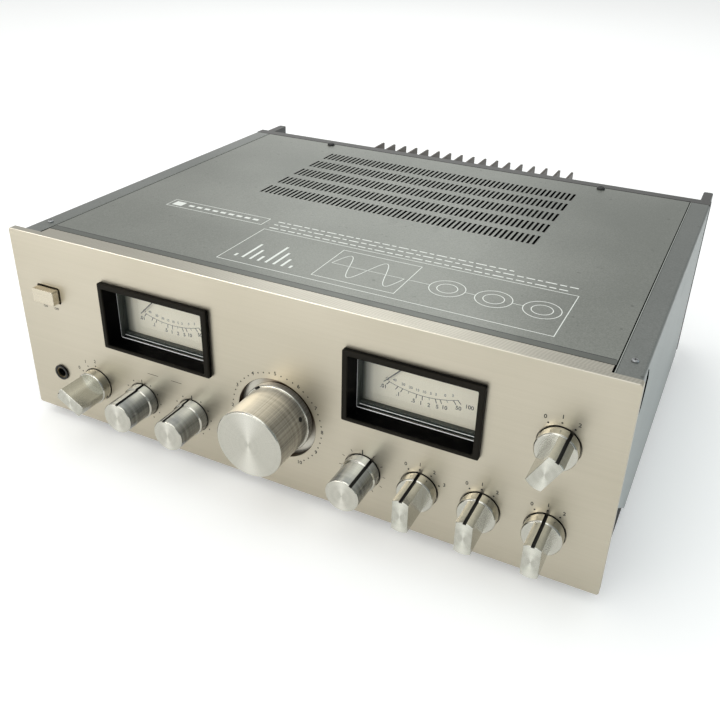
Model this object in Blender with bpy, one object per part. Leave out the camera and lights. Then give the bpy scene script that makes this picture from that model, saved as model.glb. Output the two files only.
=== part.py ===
"""Integrated stereo amplifier: two power meters, nine knobs and a power button in a sheet steel body.

Metres. +X is to the right of someone who faces the front panel, +Y goes to the back, +Z is up.
The origin is the middle of the footprint, on the surface that the feet stand on.
Shapes are written in panel coordinates: x from the middle of the panel, depth behind the panel's
front face, and height above the panel's lower edge.
"""

import math

import bmesh
import bpy
from mathutils import Matrix, Vector

# Driving dimensions of the whole body
PANEL_WIDTH = 0.430
PANEL_HEIGHT = 0.1428
PANEL_THICKNESS = 0.0054
PANEL_OVERHANG = 0.0015
FLOOR_TO_PANEL = 0.008
BODY_DEPTH = 0.3236
GUARD_STANDOFF = 0.0314
VOLUME_REACH = 0.033

# Clearances and fine edges
SEAT_GAP = 0.0003
SLIDE_GAP = 0.0002
BORE_GAP = 0.0001
OVERRUN = 0.001
FINE_CHAMFER = 0.0005

# Resolution of round shapes
CORNER_STEPS = 3
LARGE_ROUND = 48
KNOB_ROUND = 32
SINK_ROUND = 24
SMALL_ROUND = 16
PIN_ROUND = 12
FINE_BORE_ROUND = 8
SHARP_EDGE_ANGLE = 35.0

# Front panel
PANEL_CORNER = 0.0018
PANEL_CHAMFER = 0.0004
KNOB_SINK_RADIUS = 0.0125
KNOB_SINK_DEPTH = 0.0012
VOLUME_SINK_RADIUS = 0.0289
VOLUME_SINK_DEPTH = 0.0044

# Sheet metal body
SHEET = 0.0012
COVER_DROP = 0.0041
RAIL_WIDTH = 0.015
STRIP_REAR = 0.0205
LIP_LENGTH = 0.0096
COVER_END_GAP = 0.001
COVER_SIDE_GAP = 0.0005
SIDE_COVER_STEP = 0.004
SIDE_COVER_BOTTOM = 0.003
CORNER_CUT_RISE = 0.057
CORNER_CUT_DEPTH = 0.076
BOTTOM_HEIGHT = 0.002
FRAME_INSET = 0.0004
FRAME_FLANGE = 0.026
CROSS_BAR_DEPTH = 0.013
CROSS_BAR_THICKNESS = 0.0023

# Slots in the top cover
SLOT_ROWS = 5
SLOTS_PER_ROW = 57
SLOT_PITCH = 0.004
SLOT_WIDTH = 0.002
SLOT_LENGTH = 0.0177
SLOT_ROW_PITCH = 0.0262
SLOT_FIELD_INSET = 0.0283

# Screws
COVER_SCREW_X_share = 0.5972
COVER_SCREW_INSET = 0.0035
COVER_SCREW_HEAD_RADIUS = 0.0034
COVER_SCREW_HEAD_HEIGHT = 0.0016
RAIL_SCREW_DEPTH = 0.030
RAIL_SCREW_HEAD_RADIUS = 0.0021
RAIL_SCREW_HEAD_HEIGHT = 0.0009
SCREW_RADIUS = 0.0015
SCREW_LENGTH = 0.005

# Feet
FOOT_RADIUS = 0.022
FOOT_SOLE_RADIUS = 0.0195
FOOT_SIDE_INSET = 0.0485
FOOT_FRONT_DEPTH = 0.045
FOOT_REAR_INSET = 0.0386
FOOT_EDGE = 0.0012

# Heat sink and guards on the rear panel
FIN_COUNT = 17
FIN_SPAN_share = 0.87157
FIN_THICKNESS = 0.002
FIN_TOP_DROP = 0.0034
FIN_BOTTOM = 0.022
FIN_STANDOFF = 0.031
HEAT_SINK_BASE = 0.0045
HEAT_SINK_MARGIN = 0.003
GUARD_WIDTH = 0.0075
GUARD_SIDE_INSET = 0.0015
GUARD_TOP_DROP = 0.0025
GUARD_BOTTOM = 0.006
GUARD_CORNER = 0.002

# Meters
METER_X_share = 0.21535
BEZEL_WIDTH = 0.088
BEZEL_HEIGHT_share = 0.34384
BEZEL_TOP_INSET = 0.0234
BEZEL_PROUD = 0.004
BEZEL_CHAMFER = 0.0012
BEZEL_CHAMFER_DEPTH = 0.0006
BEZEL_CORNER = 0.0008
WINDOW_WIDTH = 0.0808
WINDOW_LEDGE = 0.0025
WINDOW_LEDGE_ABOVE = 0.0034
WINDOW_TAPER = 0.0006
NECK_WALL = 0.0017
NECK_REAR = 0.0093
NECK_GAP = 0.0004
GLASS_THICKNESS = 0.0034
CASE_NECK_GAP = 0.0004
CASE_MARGIN_BELOW = 0.0083
CASE_MARGIN_ABOVE = 0.0146
CASE_REAR = 0.038
CASE_WALL = 0.0035
CASE_POCKET_REAR = 0.0176
DIAL_THICKNESS = 0.0005
DIAL_HOLE_RADIUS = 0.0026
PIVOT_ABOVE_WINDOW = 0.002
NEEDLE_LENGTH = 0.0347
NEEDLE_REST_ANGLE = 45.0
NEEDLE_FRONT = 0.0145
NEEDLE_THICKNESS = 0.0005
NEEDLE_HUB_WIDTH = 0.0012
NEEDLE_TIP_WIDTH = 0.0005
NEEDLE_HUB_RADIUS = 0.003
NEEDLE_HUB_FRONT = 0.0134
NEEDLE_HUB_REAR = 0.016
NEEDLE_TAIL_LENGTH = 0.0095
NEEDLE_TAIL_WIDTH = 0.0032
NEEDLE_TAIL_MARGIN = 0.0003
NEEDLE_PIN_RADIUS = 0.001
NEEDLE_PIN_REAR = 0.023

# Knobs
SHAFT_RADIUS = 0.003
SKIRT_RADIUS = 0.0121
SKIRT_REACH = 0.0075
SKIRT_CHAMFER = 0.0007
SKIRT_SUNK = 0.0006
ROUND_KNOB_RADIUS = 0.0112
ROUND_KNOB_REACH = 0.028
BAR_KNOB_RADIUS = 0.0113
BAR_KNOB_WIDTH = 0.0102
BAR_KNOB_REACH = 0.0285
BAR_END_STEPS = 6
KNOB_EDGE = 0.0006
GROOVE_WIDTH = 0.0013
GROOVE_DEPTH = 0.0004
VOLUME_FLANGE_RADIUS = 0.0244
VOLUME_FLANGE_REACH = 0.001
VOLUME_RADIUS = 0.0233
SET_SCREW_HOLE_RADIUS = 0.0016
SET_SCREW_HOLE_DEPTH = 0.004
SET_SCREW_REACH = 0.0057
SET_SCREW_ANGLE = 66.0
VOLUME_NOTCH_WIDTH = 0.002

# Controls and switches behind the knobs
BUSHING_RADIUS = 0.0046
BUSHING_GAP = 0.0004
BUSHING_FRONT = 0.002
SHAFT_REAR = 0.0215
BORE_REAR = 0.0225
CONTROL_RADIUS = 0.012
CONTROL_REAR = 0.0255
SWITCH_RADIUS = 0.0145
SWITCH_REAR = 0.036

# Places of the knobs, and where their pointers stand, clockwise from straight up
KNOB_ROW_share = 0.2367
VOLUME_HEIGHT_share = 0.37185
FUNCTION_TOP_INSET = 0.0491
RIGHT_COLUMN_share = 0.41628
SELECTOR_PITCH_share = 0.09105
BALANCE_PITCH_share = 0.08953
SPEAKER_X_share = 0.35372
BASS_PITCH_share = 0.09744
TREBLE_PITCH_share = 0.0993
SPEAKER_POINTER_ANGLE = -60.0
BASS_POINTER_ANGLE = 5.0
TREBLE_POINTER_ANGLE = -12.0
VOLUME_NOTCH_ANGLE = -33.0
BALANCE_POINTER_ANGLE = 32.0
SELECTOR_POINTER_ANGLE = 0.0
FUNCTION_POINTER_ANGLE = 30.0
CONTROL_NAMES = {
    "speaker_knob": "speaker_switch",
    "bass_knob": "bass_control",
    "treble_knob": "treble_control",
    "volume_knob": "volume_control",
    "balance_knob": "balance_control",
    "filter_knob": "filter_switch",
    "tape_copy_knob": "tape_copy_switch",
    "monitor_knob": "monitor_switch",
    "function_knob": "function_switch",
}

# Power button and its switch
BUTTON_X_share = -0.43326
BUTTON_HEIGHT_share = 0.68768
BUTTON_WIDTH = 0.0189
BUTTON_TALL = 0.0108
BUTTON_REACH = 0.006
BUTTON_CORNER = 0.0012
BUTTON_BACK = 0.012
BUTTON_TRAVEL = 0.004
BUTTON_SLOT_GAP = 0.0008
STEM_WIDTH = 0.005
STEM_REAR = 0.024
STEM_CORNER = 0.0005
POWER_SWITCH_WIDTH = 0.030
POWER_SWITCH_TALL = 0.016
POWER_SWITCH_REAR = 0.048
POWER_SWITCH_ARM = 0.0025
POWER_SWITCH_BORE_REAR = 0.030

# Headphone socket
JACK_X_share = -0.43302
JACK_HEIGHT_share = 0.2388
JACK_RING_RADIUS = 0.006
JACK_RING_PROUD = 0.0014
JACK_NECK_RADIUS = 0.0048
JACK_BORE_RADIUS = 0.00325
JACK_BODY_RADIUS = 0.008
JACK_REAR = 0.036
JACK_BORE_REAR = 0.0335

# Inner pieces
BOARD_SIDE_GAP = 0.0185
BOARD_SUPPLY_GAP = 0.010
BOARD_FRONT = 0.060
BOARD_REAR_GAP = 0.0224
BOARD_HEIGHT = 0.014
BOARD_THICKNESS = 0.0016
BOARD_POST_RADIUS = 0.003
BOARD_POST_INSET = 0.012
BOARD_POST_OVERLAP = 0.0008
SUPPLY_WIDTH = 0.130
SUPPLY_SIDE_GAP = 0.0135
SUPPLY_DEPTH = 0.120
SUPPLY_REAR_GAP = 0.0824
SUPPLY_HEIGHT = 0.062
SUPPLY_CORNER = 0.003

# Connections on the rear panel
SOCKET_COLUMNS = 6
SOCKET_ROWS = 2
SOCKET_PITCH_share = 0.067916
SOCKET_SIDE_INSET = 0.025
SOCKET_LOW = 0.040
SOCKET_RADIUS = 0.0042
SOCKET_BORE_RADIUS = 0.0017
SOCKET_REACH = 0.009
SOCKET_BORE_DEPTH = 0.007
SOCKET_PLATE_MARGIN = 0.008
SOCKET_PLATE = 0.0016
TERMINAL_COLUMNS = 4
TERMINAL_ROWS = 2
TERMINAL_PITCH_X_share = 0.09836
TERMINAL_PITCH_HEIGHT = 0.026
TERMINAL_SIDE_INSET = 0.032
TERMINAL_LOW = 0.074
TERMINAL_RADIUS = 0.0055
TERMINAL_REACH = 0.011
TERMINAL_BLOCK = 0.006
TERMINAL_MARGIN = 0.011
TERMINAL_EDGE = 0.0008
GLAND_SIDE_INSET = 0.0275
GLAND_HEIGHT = 0.024
GLAND_COLLAR_RADIUS = 0.0085
GLAND_COLLAR = 0.005
GLAND_NECK_RADIUS = 0.0062
GLAND_NECK_REACH = 0.0064
GLAND_BORE_RADIUS = 0.0038
GROUND_CLEARANCE = 0.009
GROUND_RADIUS = 0.0045
GROUND_WAIST_RADIUS = 0.0025
GROUND_WAIST = 0.003
GROUND_CAP = 0.007

# Places worked out from the dimensions above
BODY_HALF_WIDTH = PANEL_WIDTH / 2 - PANEL_OVERHANG
GUARD_REACH = BODY_DEPTH + GUARD_STANDOFF
OVERALL_DEPTH = VOLUME_REACH + GUARD_REACH
FRONT_Y = VOLUME_REACH - OVERALL_DEPTH / 2
COVER_TOP = PANEL_HEIGHT - COVER_DROP
COVER_UNDERSIDE = COVER_TOP - SHEET
FLANGE_TOP = COVER_UNDERSIDE - SEAT_GAP
BOTTOM_TOP = BOTTOM_HEIGHT + SHEET
FLOOR_OF_BODY = BOTTOM_TOP + SEAT_GAP
SUBFRAME_FRONT = PANEL_THICKNESS + SEAT_GAP
SUBFRAME_REAR = SUBFRAME_FRONT + SHEET
INNER_FRONT = SUBFRAME_REAR + SEAT_GAP
LIP_FRONT = BODY_DEPTH - LIP_LENGTH
COVER_REAR = LIP_FRONT - COVER_END_GAP
SIDE_COVER_REAR = COVER_REAR - SIDE_COVER_STEP
SLOT_FIELD = (SLOT_ROWS - 1) * SLOT_ROW_PITCH + SLOT_LENGTH
FIRST_ROW_DEPTH = COVER_REAR - SLOT_FIELD_INSET - SLOT_FIELD
REAR_PANEL_FRONT = BODY_DEPTH - SHEET
REAR_MOUNT = BODY_DEPTH + SEAT_GAP
INNER_REAR = REAR_PANEL_FRONT - SEAT_GAP
RAIL_INNER_X = BODY_HALF_WIDTH - RAIL_WIDTH
COVER_HALF_WIDTH = RAIL_INNER_X - COVER_SIDE_GAP
FRAME_OUTER_X = BODY_HALF_WIDTH - SHEET - FRAME_INSET
FRAME_FLANGE_X = FRAME_OUTER_X - FRAME_FLANGE
COVER_FRONT = STRIP_REAR + SEAT_GAP
RAIL_SCREW_X = BODY_HALF_WIDTH - RAIL_WIDTH / 2
COVER_SCREW_X = BODY_HALF_WIDTH * COVER_SCREW_X_share
COVER_SCREW_DEPTH = COVER_REAR - COVER_SCREW_INSET
FOOT_X = BODY_HALF_WIDTH - FOOT_SIDE_INSET
FOOT_DEPTHS = (FOOT_FRONT_DEPTH, BODY_DEPTH - FOOT_REAR_INSET)
FIN_PITCH = BODY_HALF_WIDTH * FIN_SPAN_share / (FIN_COUNT - 1)
FIN_TOP = COVER_TOP - FIN_TOP_DROP
FIN_REAR = BODY_DEPTH + FIN_STANDOFF
GUARD_OUTER_X = BODY_HALF_WIDTH - GUARD_SIDE_INSET
GUARD_INNER_X = GUARD_OUTER_X - GUARD_WIDTH
GUARD_TOP = COVER_TOP - GUARD_TOP_DROP
METER_X = PANEL_WIDTH * METER_X_share
BEZEL_HEIGHT = PANEL_HEIGHT * BEZEL_HEIGHT_share
BEZEL_BOTTOM = PANEL_HEIGHT - BEZEL_TOP_INSET - BEZEL_HEIGHT
WINDOW_BOTTOM = BEZEL_BOTTOM + WINDOW_LEDGE
WINDOW_HEIGHT = BEZEL_HEIGHT - WINDOW_LEDGE - WINDOW_LEDGE_ABOVE
CASE_BOTTOM = BEZEL_BOTTOM - CASE_MARGIN_BELOW
CASE_TOP = BEZEL_BOTTOM + BEZEL_HEIGHT + CASE_MARGIN_ABOVE
PIVOT_HEIGHT = WINDOW_BOTTOM + WINDOW_HEIGHT + PIVOT_ABOVE_WINDOW
NECK_WIDTH = WINDOW_WIDTH + NECK_WALL * 2
NECK_HEIGHT = WINDOW_HEIGHT + NECK_WALL * 2
CASE_HALF_WIDTH = NECK_WIDTH / 2 + CASE_NECK_GAP + CASE_WALL
WINDOW_MIDDLE = WINDOW_BOTTOM + WINDOW_HEIGHT / 2
GLASS_FRONT = NECK_REAR + SEAT_GAP
DIAL_FRONT = CASE_POCKET_REAR - SEAT_GAP - DIAL_THICKNESS
KNOB_ROW_HEIGHT = PANEL_HEIGHT * KNOB_ROW_share
VOLUME_HEIGHT = PANEL_HEIGHT * VOLUME_HEIGHT_share
FUNCTION_HEIGHT = PANEL_HEIGHT - FUNCTION_TOP_INSET
SPEAKER_X = -PANEL_WIDTH * SPEAKER_X_share
BASS_X = SPEAKER_X + PANEL_WIDTH * BASS_PITCH_share
TREBLE_X = BASS_X + PANEL_WIDTH * TREBLE_PITCH_share
MONITOR_X = PANEL_WIDTH * RIGHT_COLUMN_share
TAPE_COPY_X = MONITOR_X - PANEL_WIDTH * SELECTOR_PITCH_share
FILTER_X = TAPE_COPY_X - PANEL_WIDTH * SELECTOR_PITCH_share
BALANCE_X = FILTER_X - PANEL_WIDTH * BALANCE_PITCH_share
BUTTON_X = PANEL_WIDTH * BUTTON_X_share
BUTTON_HEIGHT = PANEL_HEIGHT * BUTTON_HEIGHT_share
JACK_X = PANEL_WIDTH * JACK_X_share
JACK_HEIGHT = PANEL_HEIGHT * JACK_HEIGHT_share
SUPPLY_RIGHT = BODY_HALF_WIDTH - SUPPLY_SIDE_GAP
SUPPLY_LEFT = SUPPLY_RIGHT - SUPPLY_WIDTH
SUPPLY_REAR = REAR_PANEL_FRONT - SUPPLY_REAR_GAP
SUPPLY_FRONT = SUPPLY_REAR - SUPPLY_DEPTH
BOARD_LEFT = BOARD_SIDE_GAP - BODY_HALF_WIDTH
BOARD_RIGHT = SUPPLY_LEFT - BOARD_SUPPLY_GAP
BOARD_REAR = REAR_PANEL_FRONT - BOARD_REAR_GAP
SOCKET_PITCH = BODY_HALF_WIDTH * SOCKET_PITCH_share
SOCKET_LEFT = SOCKET_SIDE_INSET - BODY_HALF_WIDTH
TERMINAL_PITCH_X = BODY_HALF_WIDTH * TERMINAL_PITCH_X_share
TERMINAL_LEFT = BODY_HALF_WIDTH - TERMINAL_SIDE_INSET - (TERMINAL_COLUMNS - 1) * TERMINAL_PITCH_X
GLAND_X = BODY_HALF_WIDTH - GLAND_SIDE_INSET
GLAND_NECK_FRONT = REAR_PANEL_FRONT - GLAND_NECK_REACH
GROUND_X = SOCKET_LEFT
SOCKET_PLATE_TOP = SOCKET_LOW + (SOCKET_ROWS - 1) * SOCKET_PITCH + SOCKET_PLATE_MARGIN
GROUND_HEIGHT = SOCKET_PLATE_TOP + GROUND_CLEARANCE + GROUND_RADIUS

# Each knob: x, height of its axis, form, and where its pointer stands
KNOBS = {
    "speaker_knob": (SPEAKER_X, KNOB_ROW_HEIGHT, "bar", SPEAKER_POINTER_ANGLE),
    "bass_knob": (BASS_X, KNOB_ROW_HEIGHT, "round", BASS_POINTER_ANGLE),
    "treble_knob": (TREBLE_X, KNOB_ROW_HEIGHT, "round", TREBLE_POINTER_ANGLE),
    "volume_knob": (0.0, VOLUME_HEIGHT, "volume", VOLUME_NOTCH_ANGLE),
    "balance_knob": (BALANCE_X, KNOB_ROW_HEIGHT, "round", BALANCE_POINTER_ANGLE),
    "filter_knob": (FILTER_X, KNOB_ROW_HEIGHT, "bar", SELECTOR_POINTER_ANGLE),
    "tape_copy_knob": (TAPE_COPY_X, KNOB_ROW_HEIGHT, "bar", SELECTOR_POINTER_ANGLE),
    "monitor_knob": (MONITOR_X, KNOB_ROW_HEIGHT, "bar", SELECTOR_POINTER_ANGLE),
    "function_knob": (MONITOR_X, FUNCTION_HEIGHT, "bar", FUNCTION_POINTER_ANGLE),
}


def empty_scene():
    """Remove every object that the scene holds."""
    for item in list(bpy.data.objects):
        bpy.data.objects.remove(item, do_unlink=True)


def finish(name, colour, roughness, metallic):
    """Return a Principled material of one colour."""
    made = bpy.data.materials.new(name)
    made.use_nodes = True
    shader = made.node_tree.nodes["Principled BSDF"]
    shader.inputs["Base Color"].default_value = (*colour, 1.0)
    shader.inputs["Roughness"].default_value = roughness
    shader.inputs["Metallic"].default_value = metallic
    return made


def place(point):
    """Turn a point in panel coordinates into world coordinates."""
    x, depth, height = point
    return Vector((x, FRONT_Y + depth, FLOOR_TO_PANEL + height))


def rounded(width, tall, radius, middle=(0.0, 0.0)):
    """Outline of a rectangle with round corners."""
    points = []
    for corner, (side_x, side_y) in enumerate(((1, 1), (-1, 1), (-1, -1), (1, -1))):
        centre_x = middle[0] + side_x * (width / 2 - radius)
        centre_y = middle[1] + side_y * (tall / 2 - radius)
        for step in range(CORNER_STEPS + 1):
            angle = math.pi / 2 * (corner + step / CORNER_STEPS)
            points.append((centre_x + radius * math.cos(angle), centre_y + radius * math.sin(angle)))
    return points


def circle(radius, segments, middle=(0.0, 0.0)):
    """Outline of a circle as a regular polygon."""
    turn = math.tau / segments
    return [
        (middle[0] + radius * math.sin(step * turn), middle[1] + radius * math.cos(step * turn))
        for step in range(segments)
    ]


def across_depth(outline, depth):
    """Ring of points from an (x, height) outline."""
    return [(x, depth, height) for x, height in outline]


def across_x(outline, x):
    """Ring of points from a (depth, height) outline."""
    return [(x, depth, height) for depth, height in outline]


def across_height(outline, height):
    """Ring of points from an (x, depth) outline."""
    return [(x, depth, height) for x, depth in outline]


def loft(rings, closed=False):
    """Skin through rings with equal numbers of points: capped at both ends, or closed on itself."""
    count = len(rings[0])
    points = [point for ring in rings for point in ring]
    faces = []
    spans = len(rings) if closed else len(rings) - 1
    for span in range(spans):
        start = span * count
        end = (span + 1) % len(rings) * count
        for index in range(count):
            following = (index + 1) % count
            faces.append((start + index, start + following, end + following, end + index))
    if not closed:
        faces.append(tuple(range(count)))
        faces.append(tuple(range(len(points) - count, len(points))))
    return points, faces


def block(x_range, depth_range, height_range):
    """Plain box between two corners."""
    low_x, high_x = x_range
    low_depth, high_depth = depth_range
    outline = [(low_x, low_depth), (high_x, low_depth), (high_x, high_depth), (low_x, high_depth)]
    return loft([across_height(outline, height) for height in height_range])


def turned(profile, x, height, segments):
    """Solid turned about a line along the depth, from a list of (radius, depth)."""
    return loft([across_depth(circle(radius, segments, (x, height)), depth) for radius, depth in profile])


def tube(profile, x, height, segments):
    """Turned solid whose profile closes on itself round a bore."""
    rings = [across_depth(circle(radius, segments, (x, height)), depth) for radius, depth in profile]
    return loft(rings, closed=True)


def upright(profile, x, depth, segments):
    """Solid turned about an upright line, from a list of (radius, height)."""
    return loft([across_height(circle(radius, segments, (x, depth)), height) for radius, height in profile])


def mesh_of(name, shapes):
    """One mesh in panel coordinates from shapes that don't touch each other."""
    build = bmesh.new()
    for points, faces in shapes:
        corners = [build.verts.new(point) for point in points]
        for face in faces:
            build.faces.new([corners[index] for index in face])
    bmesh.ops.recalc_face_normals(build, faces=build.faces[:])
    mesh = bpy.data.meshes.new(name)
    build.to_mesh(mesh)
    build.free()
    return mesh


def combine(target, shapes, operation):
    """Boolean of an object with shapes given in the same coordinates, made real at once."""
    tool = bpy.data.objects.new(target.name + "_tool", mesh_of(target.name + "_tool", shapes))
    tool.hide_render = True
    tool.display_type = "WIRE"
    tool.matrix_world = target.matrix_world
    bpy.context.scene.collection.objects.link(tool)
    modifier = target.modifiers.new("combine", "BOOLEAN")
    modifier.operation = operation
    modifier.object = tool
    bpy.context.view_layer.update()
    solved = target.evaluated_get(bpy.context.evaluated_depsgraph_get())
    mesh = bpy.data.meshes.new_from_object(solved)
    target.modifiers.remove(modifier)
    target.data = mesh
    bpy.data.objects.remove(tool, do_unlink=True)


def body(name, shape, material, cuts=(), welds=(), bores=(), pivot=(0.0, 0.0, 0.0), turn=0.0):
    """Object from one shape in panel coordinates, with shapes welded on and then cut out.

    Bores are cut last, because they start inside another cut. The pivot becomes the object's origin,
    and turn is its angle about the depth axis, clockwise from the front.
    """
    item = bpy.data.objects.new(name, mesh_of(name, [shape]))
    bpy.context.scene.collection.objects.link(item)
    for weld in welds:
        combine(item, [weld], "UNION")
    for group in (cuts, bores):
        if group:
            combine(item, group, "DIFFERENCE")
    item.data.transform(Matrix.Translation(-Vector(pivot)))
    item.data.materials.clear()
    item.data.materials.append(material)
    item.data.shade_smooth()
    item.data.set_sharp_from_angle(angle=math.radians(SHARP_EDGE_ANGLE))
    item.location = place(pivot)
    item.rotation_euler = (0.0, math.radians(turn), 0.0)
    return item


def meter_places():
    """Names and middles of the two meters."""
    return (("left", -METER_X), ("right", METER_X))


def small_knobs():
    """Names, x and heights of the knobs that sit in the small round sinks."""
    return [(name, spec[0], spec[1]) for name, spec in KNOBS.items() if spec[2] != "volume"]


def front_panel(material):
    """Thick plate with windows, knob sinks, button slot and socket hole."""
    middle = (0.0, PANEL_HEIGHT / 2)
    inset = PANEL_CHAMFER * 2
    front = rounded(PANEL_WIDTH - inset, PANEL_HEIGHT - inset, PANEL_CORNER - PANEL_CHAMFER, middle)
    full = rounded(PANEL_WIDTH, PANEL_HEIGHT, PANEL_CORNER, middle)
    plate = loft([
        across_depth(front, 0.0),
        across_depth(full, PANEL_CHAMFER),
        across_depth(full, PANEL_THICKNESS),
    ])
    through = (-OVERRUN, PANEL_THICKNESS + OVERRUN)
    cuts = [window_cut(x, through) for _, x in meter_places()]
    bushing_hole = BUSHING_RADIUS + BUSHING_GAP
    for _, x, height in small_knobs():
        cuts.append(turned([
            (KNOB_SINK_RADIUS, through[0]),
            (KNOB_SINK_RADIUS, KNOB_SINK_DEPTH),
            (bushing_hole, KNOB_SINK_DEPTH),
            (bushing_hole, through[1]),
        ], x, height, SINK_ROUND))
    volume_x, volume_height = KNOBS["volume_knob"][:2]
    cuts.append(turned([
        (VOLUME_SINK_RADIUS, through[0]),
        (VOLUME_SINK_RADIUS, VOLUME_SINK_DEPTH),
        (bushing_hole, VOLUME_SINK_DEPTH),
        (bushing_hole, through[1]),
    ], volume_x, volume_height, LARGE_ROUND))
    cuts.append(button_slot(through))
    cuts.append(jack_hole(through))
    body("front_panel", plate, material, cuts)


def window_cut(x, depths):
    """Cutter for a meter's window in a plate."""
    gap = NECK_GAP * 2
    outline = rounded(NECK_WIDTH + gap, NECK_HEIGHT + gap, BEZEL_CORNER, (x, WINDOW_MIDDLE))
    return loft([across_depth(outline, depth) for depth in depths])


def button_slot(depths):
    """Cutter for the power button's slot in a plate."""
    width = BUTTON_WIDTH + BUTTON_SLOT_GAP * 2
    tall = BUTTON_TALL + BUTTON_SLOT_GAP * 2
    outline = rounded(width, tall, BUTTON_CORNER, (BUTTON_X, BUTTON_HEIGHT))
    return loft([across_depth(outline, depth) for depth in depths])


def jack_hole(depths):
    """Cutter for the headphone socket's hole in a plate."""
    radius = JACK_NECK_RADIUS + SLIDE_GAP
    return turned([(radius, depth) for depth in depths], JACK_X, JACK_HEIGHT, SMALL_ROUND)


def front_sub_frame(material):
    """Steel plate behind the panel that carries the meters and controls."""
    half_width = FRAME_OUTER_X - SEAT_GAP
    plate = block((-half_width, half_width), (SUBFRAME_FRONT, SUBFRAME_REAR), (FLOOR_OF_BODY, FLANGE_TOP))
    through = (SUBFRAME_FRONT - OVERRUN, SUBFRAME_REAR + OVERRUN)
    cuts = [window_cut(x, through) for _, x in meter_places()]
    hole = BUSHING_RADIUS + BUSHING_GAP
    for x, height, _, _ in KNOBS.values():
        cuts.append(turned([(hole, depth) for depth in through], x, height, PIN_ROUND))
    cuts.append(button_slot(through))
    cuts.append(jack_hole(through))
    body("front_sub_frame", plate, material, cuts)


def front_strip(material):
    """Bright strip between the panel and the top cover."""
    sides = (-COVER_HALF_WIDTH, COVER_HALF_WIDTH)
    shape = block(sides, (SUBFRAME_FRONT, STRIP_REAR), (COVER_UNDERSIDE, COVER_TOP))
    body("front_strip", shape, material)


def top_cover(material):
    """Flat sheet with rows of narrow slots, built as a grid whose slot cells are left open."""
    first_x = -(SLOTS_PER_ROW - 1) / 2 * SLOT_PITCH - SLOT_WIDTH / 2
    lines_x = [-COVER_HALF_WIDTH]
    for slot in range(SLOTS_PER_ROW):
        left = first_x + slot * SLOT_PITCH
        lines_x += [left, left + SLOT_WIDTH]
    lines_x.append(COVER_HALF_WIDTH)
    lines_depth = [COVER_FRONT]
    for row in range(SLOT_ROWS):
        near = FIRST_ROW_DEPTH + row * SLOT_ROW_PITCH
        lines_depth += [near, near + SLOT_LENGTH]
    lines_depth.append(COVER_REAR)
    hole = SCREW_RADIUS + SLIDE_GAP
    heights = (COVER_UNDERSIDE - OVERRUN, COVER_TOP + OVERRUN)
    cuts = [
        upright([(hole, height) for height in heights], x, COVER_SCREW_DEPTH, PIN_ROUND)
        for x in (-COVER_SCREW_X, COVER_SCREW_X)
    ]
    body("top_cover", slotted_sheet(lines_x, lines_depth, (COVER_UNDERSIDE, COVER_TOP)), material, cuts)


def slotted_sheet(lines_x, lines_depth, heights):
    """Sheet over a grid of lines; cells whose column and row numbers are both odd are open."""
    columns = len(lines_x)
    layer = columns * len(lines_depth)
    points = [(x, depth, height) for height in heights for depth in lines_depth for x in lines_x]

    def is_solid(column, row):
        inside = 0 <= column < columns - 1 and 0 <= row < len(lines_depth) - 1
        return inside and not (column % 2 and row % 2)

    faces = []
    for row in range(len(lines_depth) - 1):
        for column in range(columns - 1):
            if not is_solid(column, row):
                continue
            low = row * columns + column
            corners = (low, low + 1, low + columns + 1, low + columns)
            faces.append(corners)
            faces.append(tuple(corner + layer for corner in corners))
            neighbours = ((column, row - 1), (column + 1, row), (column, row + 1), (column - 1, row))
            for side, neighbour in enumerate(neighbours):
                if not is_solid(*neighbour):
                    start, end = corners[side], corners[(side + 1) % 4]
                    faces.append((start, end, end + layer, start + layer))
    return points, faces


def side_cover(name, side, material):
    """Bent sheet: rail on top, wall down the side, front lower corner cut off."""
    outer = side * BODY_HALF_WIDTH
    inner = side * (BODY_HALF_WIDTH - SHEET)
    rail = side * RAIL_INNER_X
    outline = [
        (rail, COVER_TOP), (outer, COVER_TOP), (outer, SIDE_COVER_BOTTOM),
        (inner, SIDE_COVER_BOTTOM), (inner, COVER_UNDERSIDE), (rail, COVER_UNDERSIDE),
    ]
    shape = loft([across_depth(outline, depth) for depth in (SUBFRAME_FRONT, COVER_REAR)])
    low = SIDE_COVER_BOTTOM - OVERRUN
    corner = [
        (SUBFRAME_FRONT - OVERRUN, low),
        (SUBFRAME_FRONT + CORNER_CUT_DEPTH, low),
        (SUBFRAME_FRONT - OVERRUN, SIDE_COVER_BOTTOM + CORNER_CUT_RISE),
    ]
    wall = (inner - side * OVERRUN, outer + side * OVERRUN)
    rear = block(wall, (SIDE_COVER_REAR, COVER_REAR + OVERRUN), (low, COVER_UNDERSIDE - SHEET))
    hole = SCREW_RADIUS + SLIDE_GAP
    heights = (COVER_UNDERSIDE - OVERRUN, COVER_TOP + OVERRUN)
    screw = upright([(hole, height) for height in heights], side * RAIL_SCREW_X, RAIL_SCREW_DEPTH, PIN_ROUND)
    body(name, shape, material, [loft([across_x(corner, x) for x in wall]), rear, screw])


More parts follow.
